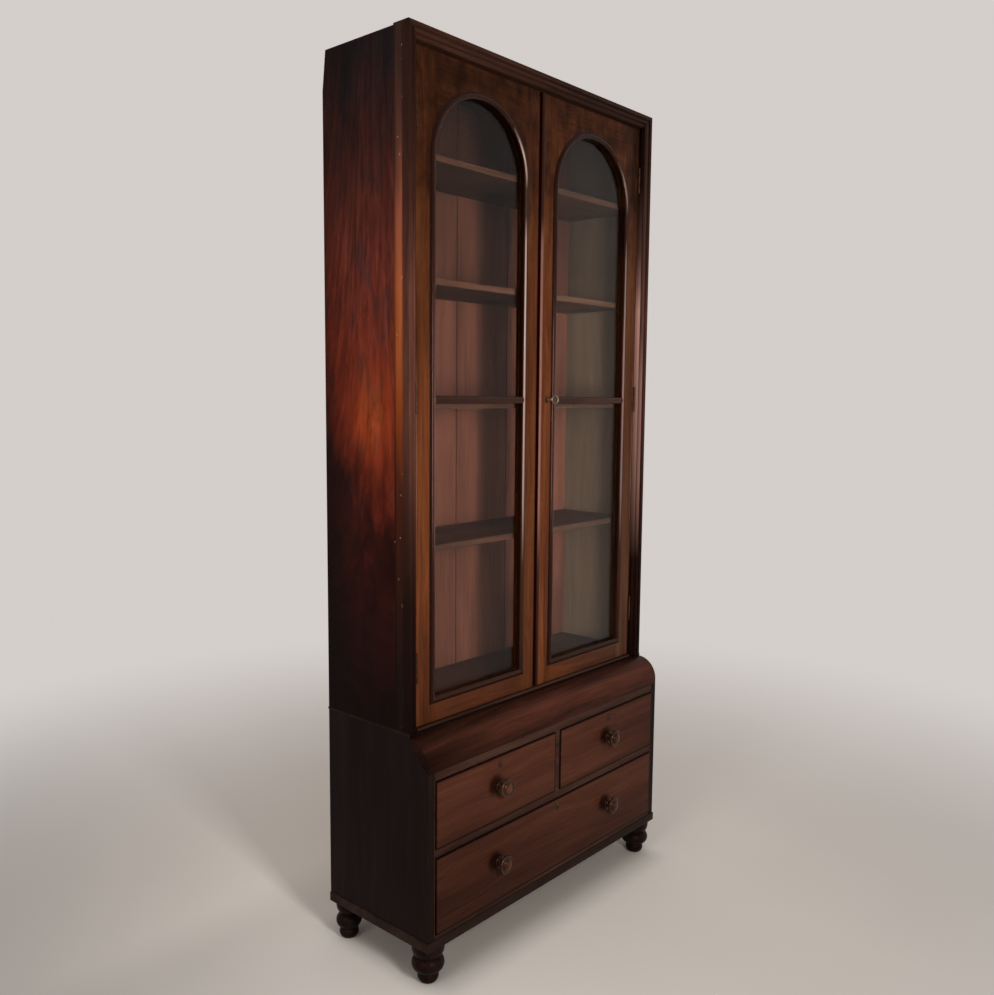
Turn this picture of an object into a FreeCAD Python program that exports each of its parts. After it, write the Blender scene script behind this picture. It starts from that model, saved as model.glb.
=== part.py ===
import FreeCAD, Part
import os

# Glazed display cabinet in two stages: a bookcase with two arched glass doors
# stands on a deeper chest with two short drawers over one long drawer.
# Millimetres. X runs along the front, -Y is the front, Z is up from the floor.

Vector = FreeCAD.Vector

# Overall sizes
width = 1008.0
total_height = 2300.0
base_height = 633.0
foot_height = 103.0
bookcase_depth = 310.0
base_projection = 63.0

# Boards of the chest
base_side_thickness = 24.0
base_top_thickness = 18.0
base_floor_thickness = 18.0
base_back_thickness = 10.0
frieze_land = 4.0
frieze_drop = 79.0
rail_depth = 60.0
bottom_rail_thickness = 22.0
bottom_rail_height = 35.0
mid_rail_height = 20.0
top_rail_height = 21.0
long_drawer_extra_height = 25.0
divider_width = 20.0
divider_depth = 40.0
runner_width = 40.0
kicker_width = 30.0
guide_height = 40.0
stop_height = 5.0
stop_length = 25.0
stop_width = 40.0
stop_inset = 70.0

# Applied mouldings of the chest and the waist
plinth_height = 24.0
plinth_proud = 3.0
opening_bead_width = 4.0
opening_bead_proud = 1.5
waist_bead_height = 8.0
waist_bead_proud = 2.5

# Turned feet: inset of the axis from both outer faces, and the radii of each turning
front_foot_inset = 39.0
rear_foot_inset = 34.0
foot_spigot_radius = 8.0
foot_spigot_length = 14.0
foot_block_size = 76.0
bun_height = 29.0
ring_height = 39.0
cup_height = 25.0
front_foot_radii = {"sole": 17.0, "bun": 27.0, "waist": 23.0, "ring": 41.5, "neck": 31.5, "cup": 42.0}
rear_foot_radii = {"sole": 15.5, "bun": 26.0, "waist": 20.5, "ring": 34.5, "neck": 22.0, "cup": 34.0}

# Drawers
drawer_proud = 3.0
drawer_front_thickness = 22.0
drawer_side_gap = 1.5
drawer_top_gap = 2.0
drawer_bottom_gap = 1.0
drawer_running_gap = 0.3
drawer_wall = 10.0
drawer_wall_drop = 8.0
drawer_lap = 14.0
drawer_back_drop = 14.0
drawer_panel = 7.0
drawer_panel_height = 8.0
drawer_groove = 5.0
drawer_rear_gap = 14.0

# Turned knobs
knob_length = 36.0
knob_radius = 25.0
knob_neck_radius = 10.0
knob_neck_height = 11.0
knob_head_radius = 20.0
knob_head_height = 16.5
knob_rim_height = 10.0
knob_button_radius = 15.0
knob_button_rise = 5.2
knob_flange_radius = 17.5
knob_flange_height = 5.0
knob_spigot_radius = 6.0
knob_spigot_length = 15.0
knob_rise = 4.0
long_knob_spacing = 490.0

# Drawer locks
lock_width = 60.0
lock_height = 45.0
lock_thickness = 8.0
lock_wall = 1.5
drawer_bolt_width = 24.0
drawer_bolt_height = 30.0
drawer_bolt_thickness = 4.4
drawer_bolt_travel = 8.0
drawer_keyhole_drop = 24.0
keyhole_radius = 2.8
keyhole_slot_width = 2.6
keyhole_slot_length = 8.0
plate_half_width = 6.5
plate_half_height = 10.5
plate_thickness = 1.2

# Bookcase boards
case_side_thickness = 22.0
case_top_thickness = 22.0
case_floor_thickness = 22.0
case_top_drop = 4.0
back_board_thickness = 14.0
back_board_width = 221.0
back_board_gap = 0.6
rear_taper_depth = 12.0
rear_taper_height = 96.0
shelf_thickness = 16.0
shelf_set_back = 2.0
shelf_ease = 1.5
dado_depth = 6.0
compartment_shares = [404.0, 343.0, 286.0, 278.0, 236.0]
face_width = 38.0
face_thickness = 29.0
door_stop_depth = 16.0
door_stop_height = 24.0
sill_nose = 9.0
dowel_radius = 6.0
dowel_length = 36.0
dowel_inset = 60.0

# Frame moulding around the doors: outer fillet, groove and two beads that step down to the doors
moulding_width = 34.0
moulding_thickness = 23.0
moulding_fillet = 11.0
moulding_groove_width = 3.0
moulding_groove_depth = 4.5
moulding_arris = 1.2

# Doors
door_set_back = 21.0
door_thickness = 24.0
door_gap = 2.0
meeting_gap = 3.0
hinge_stile_flat = 46.0
meeting_stile_flat = 51.0
bottom_rail_flat = 45.0
crown_flat = 57.0
door_bead_width = 18.0
door_bead_proud = 6.0
door_lip = 12.0
rebate_width = 8.0
glass_thickness = 3.0
glass_margin = 1.0
glazing_bar_drop = 3.5
glazing_tongue = 4.4
meeting_bead_width = 10.0
meeting_bead_proud = 4.0
meeting_edge_round = 12.0

# Butt hinges, with the pin in front of the door's face
hinge_length = 75.0
hinge_inset = 150.0
knuckle_radius = 3.5
knuckle_count = 5
hinge_pin_radius = 1.5
hinge_pin_stand_off = 4.0
leaf_thickness = 1.8
leaf_gap = 0.4
leaf_depth = 26.0
knuckle_play = 0.15

# Door lock, its key, and the two bolts inside the left door
door_lock_width = 50.0
door_lock_below = 24.0
door_lock_above = 36.0
door_lock_drop = 1.5
door_key_inset = 34.0
door_bolt_throw = 9.0
door_bolt_height = 16.0
door_bolt_length = 30.0
door_bolt_thickness = 5.0
door_bolt_rise = 12.0
key_radius = 2.5
key_length = 30.0
bow_radius = 10.0
bow_wire = 2.0
bit_length = 8.0
bit_width = 2.0
bit_gap = 1.0
key_collar_radius = 4.0
key_collar_length = 3.0
slip_bolt_radius = 3.5
slip_bolt_length = 74.0
slip_bolt_travel = 12.0
slip_bolt_inset = 34.0
slip_plate_width = 24.0
slip_plate_length = 64.0
slip_plate_thickness = 2.0
slip_staple_length = 8.0
slip_staple_wall = 2.0
slip_grip_radius = 2.5
slip_grip_length = 11.0
slip_knob_radius = 3.9

# Clearances
slide_clearance = 0.2
pin_clearance = 0.05
joint_clearance = 0.1
mortise_clearance = 1.0
slip_hole_clearance = 0.8
resting_gap = 0.3

# Places worked out from the sizes above
half_width = width / 2
base_depth = bookcase_depth + base_projection
back_y = (base_depth + drawer_proud + knob_length) / 2
base_face_y = back_y - base_depth
case_face_y = back_y - bookcase_depth
base_inner_x = half_width - base_side_thickness
base_back_y = back_y - base_back_thickness
frieze_bottom = base_height - frieze_drop
long_opening_z = foot_height + bottom_rail_height
top_rail_z = frieze_bottom - top_rail_height
opening_heights = top_rail_z - long_opening_z - mid_rail_height
long_opening_height = (opening_heights + long_drawer_extra_height) / 2
short_opening_height = opening_heights - long_opening_height
mid_rail_z = long_opening_z + long_opening_height
short_opening_z = mid_rail_z + mid_rail_height
rail_back_y = base_face_y + rail_depth
case_inner_x = half_width - case_side_thickness
case_top_z = total_height - case_top_drop
case_back_y = back_y - back_board_thickness
frame_back_y = case_face_y + moulding_thickness + face_thickness
opening_x = half_width - face_width
sill_top_z = base_height + waist_bead_height
floor_top_z = sill_top_z + case_floor_thickness
opening_top_z = total_height - face_width
door_face_y = case_face_y + door_set_back
door_back_y = door_face_y + door_thickness
rebate_y = door_face_y + door_lip
bead_back_y = rebate_y + glass_thickness + slide_clearance
door_hinge_x = opening_x - door_gap
door_meeting_x = meeting_gap / 2
door_bottom_z = sill_top_z + door_gap
door_top_z = opening_top_z - door_gap
door_middle_z = (door_bottom_z + door_top_z) / 2
glazing_bar_z = door_middle_z - glazing_bar_drop
door_lock_z = door_middle_z - door_lock_drop
sight_outer_x = door_hinge_x - hinge_stile_flat - door_bead_width
sight_inner_x = door_meeting_x + meeting_stile_flat + door_bead_width
arch_radius = (sight_outer_x - sight_inner_x) / 2
arch_x = (sight_outer_x + sight_inner_x) / 2
sight_bottom_z = door_bottom_z + bottom_rail_flat + door_bead_width
spring_z = door_top_z - crown_flat - door_bead_width - arch_radius
hinge_x = (opening_x + door_hinge_x) / 2
hinge_y = door_face_y - hinge_pin_stand_off
key_x = door_meeting_x + door_key_inset
slip_bolt_y = door_back_y + slip_plate_thickness + slip_staple_wall + slip_bolt_radius


def board(x0, x1, y0, y1, z0, z1):
    """A rectangular board between two corners."""
    return Part.makeBox(x1 - x0, y1 - y0, z1 - z0, Vector(x0, y0, z0))


def rod(radius, start, end):
    """A round bar from one point to another."""
    along = end - start
    return Part.makeCylinder(radius, along.Length, start, along)


def face_of(place, start, *steps):
    """A flat face: each step is the end of a line, or the middle and the end of an arc."""
    edges = []
    here = start
    for step in steps:
        if isinstance(step[0], tuple):
            middle, end = step
            edges.append(Part.Arc(place(*here), place(*middle), place(*end)).toShape())
        else:
            end = step
            edges.append(Part.LineSegment(place(*here), place(*end)).toShape())
        here = end
    if here != start:
        edges.append(Part.LineSegment(place(*here), place(*start)).toShape())
    return Part.Face(Part.Wire(edges))


def bar_along_x(x0, x1, start, *steps):
    """A bar of constant section, drawn in Y and Z."""
    section = face_of(lambda y, z: Vector(x0, y, z), start, *steps)
    return section.extrude(Vector(x1 - x0, 0, 0))


def bar_along_y(y0, y1, start, *steps):
    """A plate or bar whose outline is drawn in X and Z."""
    section = face_of(lambda x, z: Vector(x, y0, z), start, *steps)
    return section.extrude(Vector(0, y1 - y0, 0))


def bar_along_z(z0, z1, start, *steps):
    """A post of constant section, drawn in X and Y."""
    section = face_of(lambda x, y: Vector(x, y, z0), start, *steps)
    return section.extrude(Vector(0, 0, z1 - z0))


def turned(axis_point, axis, start, *steps):
    """A turning: the profile gives the radius and the height along the axis."""
    side = Vector(1, 0, 0)
    section = face_of(lambda r, h: axis_point + side * r + axis * h, start, *steps)
    return section.revolve(axis_point, axis, 360)


def eased(start, corner, end):
    """The middle and the end of a quarter arc that rounds the corner between two points."""
    share = 1 - 0.5 ** 0.5
    middle = [c + share * (a - c) + share * (b - c) for a, c, b in zip(start, corner, end)]
    return tuple(middle), end


def mirrored(shape):
    """The same piece on the other side of the cabinet."""
    return shape.mirror(Vector(0, 0, 0), Vector(1, 0, 0))


def group(*shapes):
    """Separate solids kept in one node."""
    return Part.makeCompound([solid for shape in shapes for solid in shape.Solids])


def keyhole(x, z, y0, y1):
    """The round hole and the slot under it that let a key through."""
    round_hole = rod(keyhole_radius, Vector(x, y0, z), Vector(x, y1, z))
    half_slot = keyhole_slot_width / 2
    return round_hole.fuse(board(x - half_slot, x + half_slot, y0, y1, z - keyhole_slot_length, z))


def keyhole_plate(x, z, y):
    """An oval brass plate with its back on the plane y."""
    plate = rod(plate_half_width, Vector(x, y - plate_thickness, z), Vector(x, y, z))
    reach = plate_half_height - plate_half_width
    high = rod(plate_half_width, Vector(x, y - plate_thickness, z + reach), Vector(x, y, z + reach))
    low = rod(plate_half_width, Vector(x, y - plate_thickness, z - reach), Vector(x, y, z - reach))
    middle = board(x - plate_half_width, x + plate_half_width, y - plate_thickness, y, z - reach, z + reach)
    oval = plate.multiFuse([high, low, middle]).removeSplitter()
    return oval.cut(keyhole(x, z, y - 2 * plate_thickness, y + plate_thickness))


# Chest: sides, boards, frieze, rails and runners

def base_side():
    """The right-hand side board, cut back at the top front corner for the frieze."""
    return bar_along_x(
        base_inner_x, half_width,
        (back_y, foot_height), (base_face_y, foot_height), (base_face_y, frieze_bottom),
        (base_face_y + frieze_land, frieze_bottom),
        (case_face_y, frieze_bottom + base_projection - frieze_land),
        (case_face_y, base_height), (back_y, base_height))


def frieze():
    """The quarter-round board that steps the chest back to the bookcase."""
    shoulder = (base_face_y, base_height - base_projection)
    return bar_along_x(
        -half_width, half_width,
        (base_face_y, frieze_bottom), shoulder,
        eased(shoulder, (base_face_y, base_height), (case_face_y, base_height)),
        (case_face_y, frieze_bottom + base_projection - frieze_land),
        (base_face_y + frieze_land, frieze_bottom))


def dowel_places():
    """Where the dowels that locate the bookcase stand."""
    x = case_inner_x - dowel_inset
    return [(sx * x, y) for sx in (-1, 1) for y in (frame_back_y + dowel_inset, case_back_y - dowel_inset)]


def dowels(radius):
    """The four dowels, or the holes for them."""
    low = (base_height + sill_top_z - dowel_length) / 2
    return [rod(radius, Vector(x, y, low), Vector(x, y, low + dowel_length)) for x, y in dowel_places()]


def base_top():
    top = board(-base_inner_x, base_inner_x, case_face_y, base_back_y,
                base_height - base_top_thickness, base_height)
    return top.cut(dowels(dowel_radius + joint_clearance))


def foot_places():
    """Axis of each foot, by name."""
    front_x = half_width - front_foot_inset
    rear_x = half_width - rear_foot_inset
    front_y = base_face_y + front_foot_inset
    rear_y = back_y - rear_foot_inset
    return {
        "front_feet": [Vector(-front_x, front_y, 0), Vector(front_x, front_y, 0)],
        "rear_feet": [Vector(-rear_x, rear_y, 0), Vector(rear_x, rear_y, 0)],
    }


def foot_blocks():
    """Glue blocks under the floor board, bored for the spigots of the feet."""
    top = long_opening_z - base_floor_thickness
    blocks = []
    for places in foot_places().values():
        for axis in places:
            side = 1 if axis.x > 0 else -1
            x0, x1 = sorted((side * base_inner_x, side * (base_inner_x - foot_block_size)))
            front = axis.y < 0
            y0 = base_face_y + bottom_rail_thickness if front else base_back_y - foot_block_size
            block = board(x0, x1, y0, y0 + foot_block_size, foot_height, top)
            hole = rod(foot_spigot_radius + joint_clearance, axis, axis + Vector(0, 0, top))
            blocks.append(block.cut(hole))
    return group(*blocks)


def base_floor():
    floor = board(-base_inner_x, base_inner_x, base_face_y + bottom_rail_thickness, base_back_y,
                  long_opening_z - base_floor_thickness, long_opening_z)
    return group(floor, foot_blocks())


def base_back():
    return board(-base_inner_x, base_inner_x, base_back_y, back_y, foot_height, base_height)


def drawer_bolt_slot(x, rail_bottom):
    """The mortise in a rail that takes a drawer's lock bolt from below."""
    y = base_face_y - drawer_proud + drawer_front_thickness - lock_thickness / 2
    half_x = drawer_bolt_width / 2 + mortise_clearance
    half_y = drawer_bolt_thickness / 2 + mortise_clearance
    depth = drawer_bolt_travel + mortise_clearance
    return board(x - half_x, x + half_x, y - half_y, y + half_y, rail_bottom - 1, rail_bottom + depth)


def drawer_rails():
    """The three rails across the front of the chest."""
    low = board(-base_inner_x, base_inner_x, base_face_y, base_face_y + bottom_rail_thickness,
                foot_height, long_opening_z)
    mid = board(-base_inner_x, base_inner_x, base_face_y, rail_back_y, mid_rail_z, short_opening_z)
    top = board(-base_inner_x, base_inner_x, base_face_y, rail_back_y, top_rail_z, frieze_bottom)
    mid = mid.cut(drawer_bolt_slot(0, mid_rail_z))
    for side in (-1, 1):
        top = top.cut(drawer_bolt_slot(side * short_drawer_x, top_rail_z))
    return group(low, mid, top)


def drawer_divider():
    half = divider_width / 2
    return board(-half, half, base_face_y, base_face_y + divider_depth, short_opening_z, top_rail_z)


def drawer_stops(z, xs):
    """Small blocks that the drawer fronts shut against."""
    y = base_face_y - drawer_proud + drawer_front_thickness + resting_gap
    half = stop_width / 2
    return [board(x - half, x + half, y, y + stop_length, z, z + stop_height) for x in xs]


def drawer_runners():
    """Runners, the centre guide, kickers and stops that carry and steer the drawers."""
    pieces = []
    levels = ((mid_rail_z, short_opening_z, runner_width), (top_rail_z, frieze_bottom, kicker_width))
    for z0, z1, breadth in levels:
        for x0, x1 in ((-base_inner_x, breadth - base_inner_x), (-breadth / 2, breadth / 2),
                       (base_inner_x - breadth, base_inner_x)):
            pieces.append(board(x0, x1, rail_back_y, base_back_y, z0, z1))
    half = divider_width / 2
    pieces.append(board(-half, half, base_face_y + divider_depth, base_back_y,
                        short_opening_z, short_opening_z + guide_height))
    inset = base_inner_x - stop_inset
    pieces += drawer_stops(long_opening_z, (-inset, inset))
    pieces += drawer_stops(short_opening_z, (-inset, -stop_inset, stop_inset, inset))
    return group(*pieces)


def plinth_section(face, sign):
    """Section of the plinth moulding against a face, as a distance and a height."""
    outer = face + sign * plinth_proud
    top = foot_height + plinth_height
    shoulder = (outer, top - plinth_proud)
    return [(face, foot_height), (outer, foot_height), shoulder, eased(shoulder, (outer, top), (face, top))]


def plinth_moulding():
    """Rounded strips along the foot of the chest, mitred at the front corners."""
    reach = half_width + plinth_proud
    front_y = base_face_y - plinth_proud
    front = bar_along_x(-reach, reach, *plinth_section(base_face_y, -1))
    keep = bar_along_z(foot_height, foot_height + plinth_height, (-reach, front_y), (reach, front_y),
                       (half_width, base_face_y), (-half_width, base_face_y))
    front = front.common(keep)
    section = face_of(lambda x, z: Vector(x, front_y, z), *plinth_section(half_width, 1))
    side = section.extrude(Vector(0, back_y - front_y, 0))
    keep = bar_along_z(foot_height, foot_height + plinth_height, (reach, front_y), (reach, back_y),
                       (half_width, back_y), (half_width, base_face_y))
    side = side.common(keep)
    return group(front, side, mirrored(side))


def bead_strip(x0, x1, z0, z1):
    """A half-round bead on the face of the chest, along its longer direction."""
    proud = base_face_y - opening_bead_proud
    if x1 - x0 > z1 - z0:
        middle = (z0 + z1) / 2
        return bar_along_x(x0, x1, (base_face_y, z0), ((proud, middle), (base_face_y, z1)))
    middle = (x0 + x1) / 2
    return bar_along_z(z0, z1, (x0, base_face_y), ((middle, proud), (x1, base_face_y)))


def opening_beads():
    """Beads on the rails above the drawers and on the sides beside them."""
    beads = []
    for z in (mid_rail_z, top_rail_z):
        beads.append(bead_strip(-base_inner_x, base_inner_x, z, z + opening_bead_width))
    for z0, z1 in ((long_opening_z, mid_rail_z), (mid_rail_z, top_rail_z + opening_bead_width)):
        strip = bead_strip(base_inner_x, base_inner_x + opening_bead_width, z0, z1)
        beads += [strip, mirrored(strip)]
    return group(*beads)


def foot(axis, radii):
    """A turned foot: a bun, a wide ring and a cup under the block, with a spigot above."""
    ring_z = bun_height + ring_height
    cup_z = ring_z + cup_height
    body = turned(
        axis, Vector(0, 0, 1), (0, 0), (radii["sole"], 0),
        ((radii["bun"], bun_height * 0.5), (radii["waist"], bun_height)),
        ((radii["ring"], bun_height + ring_height * 0.5), (radii["neck"], ring_z)),
        (((radii["neck"] + 2 * radii["cup"]) / 3, ring_z + cup_height * 0.4), (radii["cup"], cup_z)),
        (radii["cup"], foot_height), (0, foot_height))
    spigot = rod(foot_spigot_radius, axis, axis + Vector(0, 0, foot_height + foot_spigot_length))
    return body.fuse(spigot).removeSplitter()


# Drawers

short_drawer_x = (base_inner_x + divider_width / 2) / 2
drawer_face_y = base_face_y - drawer_proud
drawer_front_back_y = drawer_face_y + drawer_front_thickness


class DrawerPlan:
    """Places that the pieces of one drawer share."""

    def __init__(self, name, x0, x1, opening_z, opening_height, knob_xs):
        self.name = name
        self.x0 = x0 + drawer_side_gap
        self.x1 = x1 - drawer_side_gap
        self.x = (x0 + x1) / 2
        self.z0 = opening_z + drawer_bottom_gap
        self.z1 = opening_z + opening_height - drawer_top_gap
        self.wall_z0 = opening_z + drawer_running_gap
        self.wall_z1 = self.z1 - drawer_wall_drop
        self.panel_z = opening_z + drawer_panel_height
        self.keyhole_z = opening_z + opening_height - drawer_keyhole_drop
        self.knob_z = opening_z + opening_height / 2 + knob_rise
        self.knob_xs = knob_xs
        self.wall_y1 = base_back_y - drawer_rear_gap


def drawer_walls(plan):
    """The two side boards, lapped into the front."""
    y0 = drawer_front_back_y - drawer_lap
    return [board(x, x + drawer_wall, y0, plan.wall_y1, plan.wall_z0, plan.wall_z1)
            for x in (plan.x0, plan.x1 - drawer_wall)]


def drawer_front(plan):
    """The front board, with its lock pocket, keyhole, knob holes and bottom groove."""
    front = board(plan.x0, plan.x1, drawer_face_y, drawer_front_back_y, plan.z0, plan.z1)
    half = lock_width / 2
    cuts = [board(plan.x - half, plan.x + half, drawer_front_back_y - lock_thickness, drawer_front_back_y,
                  plan.z1 - lock_height, plan.z1)]
    cuts.append(keyhole(plan.x, plan.keyhole_z, drawer_face_y, drawer_front_back_y))
    for x in plan.knob_xs:
        cuts.append(rod(knob_spigot_radius + joint_clearance, Vector(x, drawer_face_y, plan.knob_z),
                        Vector(x, drawer_face_y + knob_spigot_length + joint_clearance, plan.knob_z)))
    groove_y = drawer_front_back_y - drawer_groove - slide_clearance
    cuts.append(board(plan.x0 + drawer_wall - drawer_groove, plan.x1 - drawer_wall + drawer_groove,
                      groove_y, drawer_front_back_y, plan.panel_z - slide_clearance,
                      plan.panel_z + drawer_panel + slide_clearance))
    return front.cut(cuts).cut(drawer_walls(plan))


def drawer_box(plan):
    """Two sides with a groove for the bottom panel, the panel, and the back that stands on it."""
    inner_x0 = plan.x0 + drawer_wall
    inner_x1 = plan.x1 - drawer_wall
    groove = board(inner_x0 - drawer_groove - slide_clearance, inner_x1 + drawer_groove + slide_clearance,
                   drawer_front_back_y - drawer_groove - slide_clearance, plan.wall_y1,
                   plan.panel_z - slide_clearance, plan.panel_z + drawer_panel + slide_clearance)
    walls = [wall.cut(groove) for wall in drawer_walls(plan)]
    panel = board(inner_x0 - drawer_groove, inner_x1 + drawer_groove, drawer_front_back_y - drawer_groove,
                  plan.wall_y1, plan.panel_z, plan.panel_z + drawer_panel)
    back = board(inner_x0, inner_x1, plan.wall_y1 - drawer_wall, plan.wall_y1,
                 plan.panel_z + drawer_panel, plan.wall_z1 - drawer_back_drop)
    return group(*walls, panel, back)


def knob(x, z):
    """A turned knob: flange, neck, and a head with a hollow ring around a domed button."""
    shoulder = knob_flange_radius - 2.5
    head = knob_length - knob_head_height
    rim = head + knob_rim_height
    button = (knob_button_radius, knob_length - knob_button_rise)
    dome_radius = (knob_button_radius ** 2 + knob_button_rise ** 2) / (2 * knob_button_rise)
    dome_middle = knob_button_radius / 2
    dome_height = knob_length - dome_radius + (dome_radius ** 2 - dome_middle ** 2) ** 0.5
    neck_low = (knob_neck_radius, knob_neck_height)
    body = turned(
        Vector(x, drawer_face_y, z), Vector(0, -1, 0), (0, 0), (shoulder + 1, 0),
        ((knob_flange_radius, knob_flange_height / 2), (shoulder, knob_flange_height)),
        eased((shoulder, knob_flange_height), (knob_neck_radius, knob_flange_height), neck_low),
        eased(neck_low, (knob_neck_radius, head), (knob_head_radius, head)),
        ((knob_radius, (head + rim) / 2), (knob_head_radius + 1.5, rim)),
        ((knob_button_radius + 3, rim - 0.8), button),
        ((dome_middle, dome_height), (0, knob_length)))
    spigot = rod(knob_spigot_radius, Vector(x, drawer_face_y - 1, z),
                 Vector(x, drawer_face_y + knob_spigot_length, z))
    return body.fuse(spigot).removeSplitter()


def drawer_bolt_box(plan, grow):
    """A drawer's lock bolt, drawn down inside its case, grown by a margin."""
    half_x = drawer_bolt_width / 2 + grow
    half_y = drawer_bolt_thickness / 2 + grow
    y = drawer_front_back_y - lock_thickness / 2
    top = plan.z1 - slide_clearance
    low = top - drawer_bolt_height
    return board(plan.x - half_x, plan.x + half_x, y - half_y, y + half_y, low, top + grow)


def drawer_lock(plan):
    """A brass box lock let into the back of the front, and the plate around the keyhole."""
    half = lock_width / 2
    front = drawer_front_back_y - lock_thickness
    low = plan.z1 - lock_height
    case = board(plan.x - half, plan.x + half, front, drawer_front_back_y, low, plan.z1)
    hollow = board(plan.x - half + lock_wall, plan.x + half - lock_wall,
                   front + lock_wall, drawer_front_back_y - lock_wall, low + lock_wall, plan.z1 - lock_wall)
    case = case.cut([hollow, drawer_bolt_box(plan, slide_clearance)])
    case = case.cut(keyhole(plan.x, plan.keyhole_z, front, front + lock_wall))
    return group(case, keyhole_plate(plan.x, plan.keyhole_z, drawer_face_y))


# Bookcase

def case_side():
    """The right-hand side, housed for the shelves and tapered back at the top rear corner."""
    side = bar_along_x(case_inner_x, half_width, (frame_back_y, base_height), *rear_edge(),
                       (frame_back_y, case_top_z))
    for top in shelf_tops():
        side = side.cut(board(case_inner_x, case_inner_x + dado_depth, frame_back_y, case_back_y,
                              top - shelf_thickness - joint_clearance, top + joint_clearance))
    return side


def shelf_tops():
    """Heights of the shelves' upper faces, from the lowest up, which share out the height inside."""
    shelf_count = len(compartment_shares) - 1
    clear = case_top_z - case_top_thickness - floor_top_z - shelf_count * shelf_thickness
    tops = []
    z = floor_top_z
    for share in compartment_shares[:shelf_count]:
        z += clear * share / sum(compartment_shares) + shelf_thickness
        tops.append(z)
    return tops


def shelf(top):
    """A shelf with its front edge eased, its ends in the housings."""
    end = case_inner_x + dado_depth - joint_clearance
    front = frame_back_y + shelf_set_back
    low = top - shelf_thickness
    lower = ((front + shelf_ease, low), (front, low), (front, low + shelf_ease))
    upper = ((front, top - shelf_ease), (front, top), (front + shelf_ease, top))
    return bar_along_x(-end, end, (case_back_y, low), lower[0], eased(*lower), upper[0], eased(*upper),
                       (case_back_y, top))


def case_top():
    return board(-case_inner_x, case_inner_x, frame_back_y, case_back_y,
                 case_top_z - case_top_thickness, case_top_z)


def case_floor():
    """The bottom board, with a tongue that comes forward between the face stiles to the doors."""
    floor = board(-case_inner_x, case_inner_x, frame_back_y, case_back_y, sill_top_z, floor_top_z)
    tongue = board(-opening_x, opening_x, door_back_y + door_gap, frame_back_y, sill_top_z, floor_top_z)
    floor = floor.fuse(tongue).removeSplitter()
    cuts = dowels(dowel_radius + joint_clearance)
    cuts.append(slip_bolt_hole(floor_top_z - slip_bolt_travel, floor_top_z))
    return floor.cut(cuts)


def slip_bolt_hole(z0, z1):
    """The hole that takes one of the left door's bolts."""
    x = -(door_meeting_x + slip_bolt_inset)
    return rod(slip_bolt_radius + slip_hole_clearance, Vector(x, slip_bolt_y, z0), Vector(x, slip_bolt_y, z1))


def door_stop():
    """The strip under the top board that both doors shut against."""
    top = case_top_z - case_top_thickness
    front = door_back_y + resting_gap
    strip = board(-opening_x, opening_x, front, front + door_stop_depth, top - door_stop_height, top)
    behind_rail = board(-opening_x, opening_x, door_back_y, frame_back_y, opening_top_z, top)
    return strip.cut([behind_rail, slip_bolt_hole(top - door_stop_height, top)])


def sill_rail():
    """The low rail under the doors, with a rounded nose."""
    nose_y = door_face_y - sill_nose
    middle = (base_height + sill_top_z) / 2
    round_y = nose_y + waist_bead_height / 2
    return bar_along_x(-opening_x, opening_x, (frame_back_y, base_height), (round_y, base_height),
                       ((nose_y, middle), (round_y, sill_top_z)), (frame_back_y, sill_top_z))


def rear_edge():
    """The rear outline of the bookcase, tapered towards the top."""
    return [(back_y, base_height), (back_y, case_top_z - rear_taper_height),
            (back_y - rear_taper_depth, case_top_z)]


def back_boards():
    """Upright boards across the back, with open joints."""
    boards = []
    x = -case_inner_x
    while x < case_inner_x:
        end = min(x + back_board_width, case_inner_x)
        inner_end = end - back_board_gap if end < case_inner_x else end
        boards.append(bar_along_x(x, inner_end, (case_back_y, base_height), *rear_edge(),
                                  (case_back_y, case_top_z)))
        x = end
    return group(*boards)


def leaf_recess(z):
    """Where one hinge leaf is let into the edge of the right-hand face stile."""
    deep = leaf_thickness + leaf_gap / 2 - door_gap / 2
    return board(opening_x, opening_x + deep, hinge_y, hinge_y + leaf_depth,
                 z - hinge_length / 2, z + hinge_length / 2)


def face_frame():
    """Two stiles and a top rail behind the frame moulding."""
    front = case_face_y + moulding_thickness
    stile = board(opening_x, half_width, front, frame_back_y, base_height, total_height)
    stile = stile.cut([leaf_recess(z) for z in hinge_heights()])
    rail = board(-opening_x, opening_x, front, frame_back_y, opening_top_z, total_height)
    return group(stile, mirrored(stile), rail)


def moulding_section():
    """Section of the frame moulding: across from the outer edge, and back from the face."""
    groove_end = moulding_fillet + moulding_groove_width
    bead = (moulding_width - groove_end) / 2
    step = moulding_groove_depth
    ease = moulding_arris
    return [
        (0, ease), eased((0, ease), (0, 0), (ease, 0)), (moulding_fillet, 0),
        (moulding_fillet, step), (groove_end, step),
        ((groove_end + bead * 0.45, step * 0.25), (groove_end + bead, step * 1.55)),
        (groove_end + bead, step * 2),
        ((groove_end + bead * 1.65, step * 2.2), (moulding_width, step * 3.8)),
        (moulding_width, moulding_thickness), (0, moulding_thickness)]


def side_moulding():
    """The right-hand length of frame moulding, mitred at the top."""
    section = face_of(lambda w, d: Vector(half_width - w, case_face_y + d, base_height), *moulding_section())
    length = section.extrude(Vector(0, 0, total_height - base_height))
    inner = half_width - moulding_width
    keep = bar_along_y(case_face_y, case_face_y + moulding_thickness,
                       (half_width, base_height), (half_width, total_height),
                       (inner, total_height - moulding_width), (inner, base_height))
    return length.common(keep)


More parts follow.
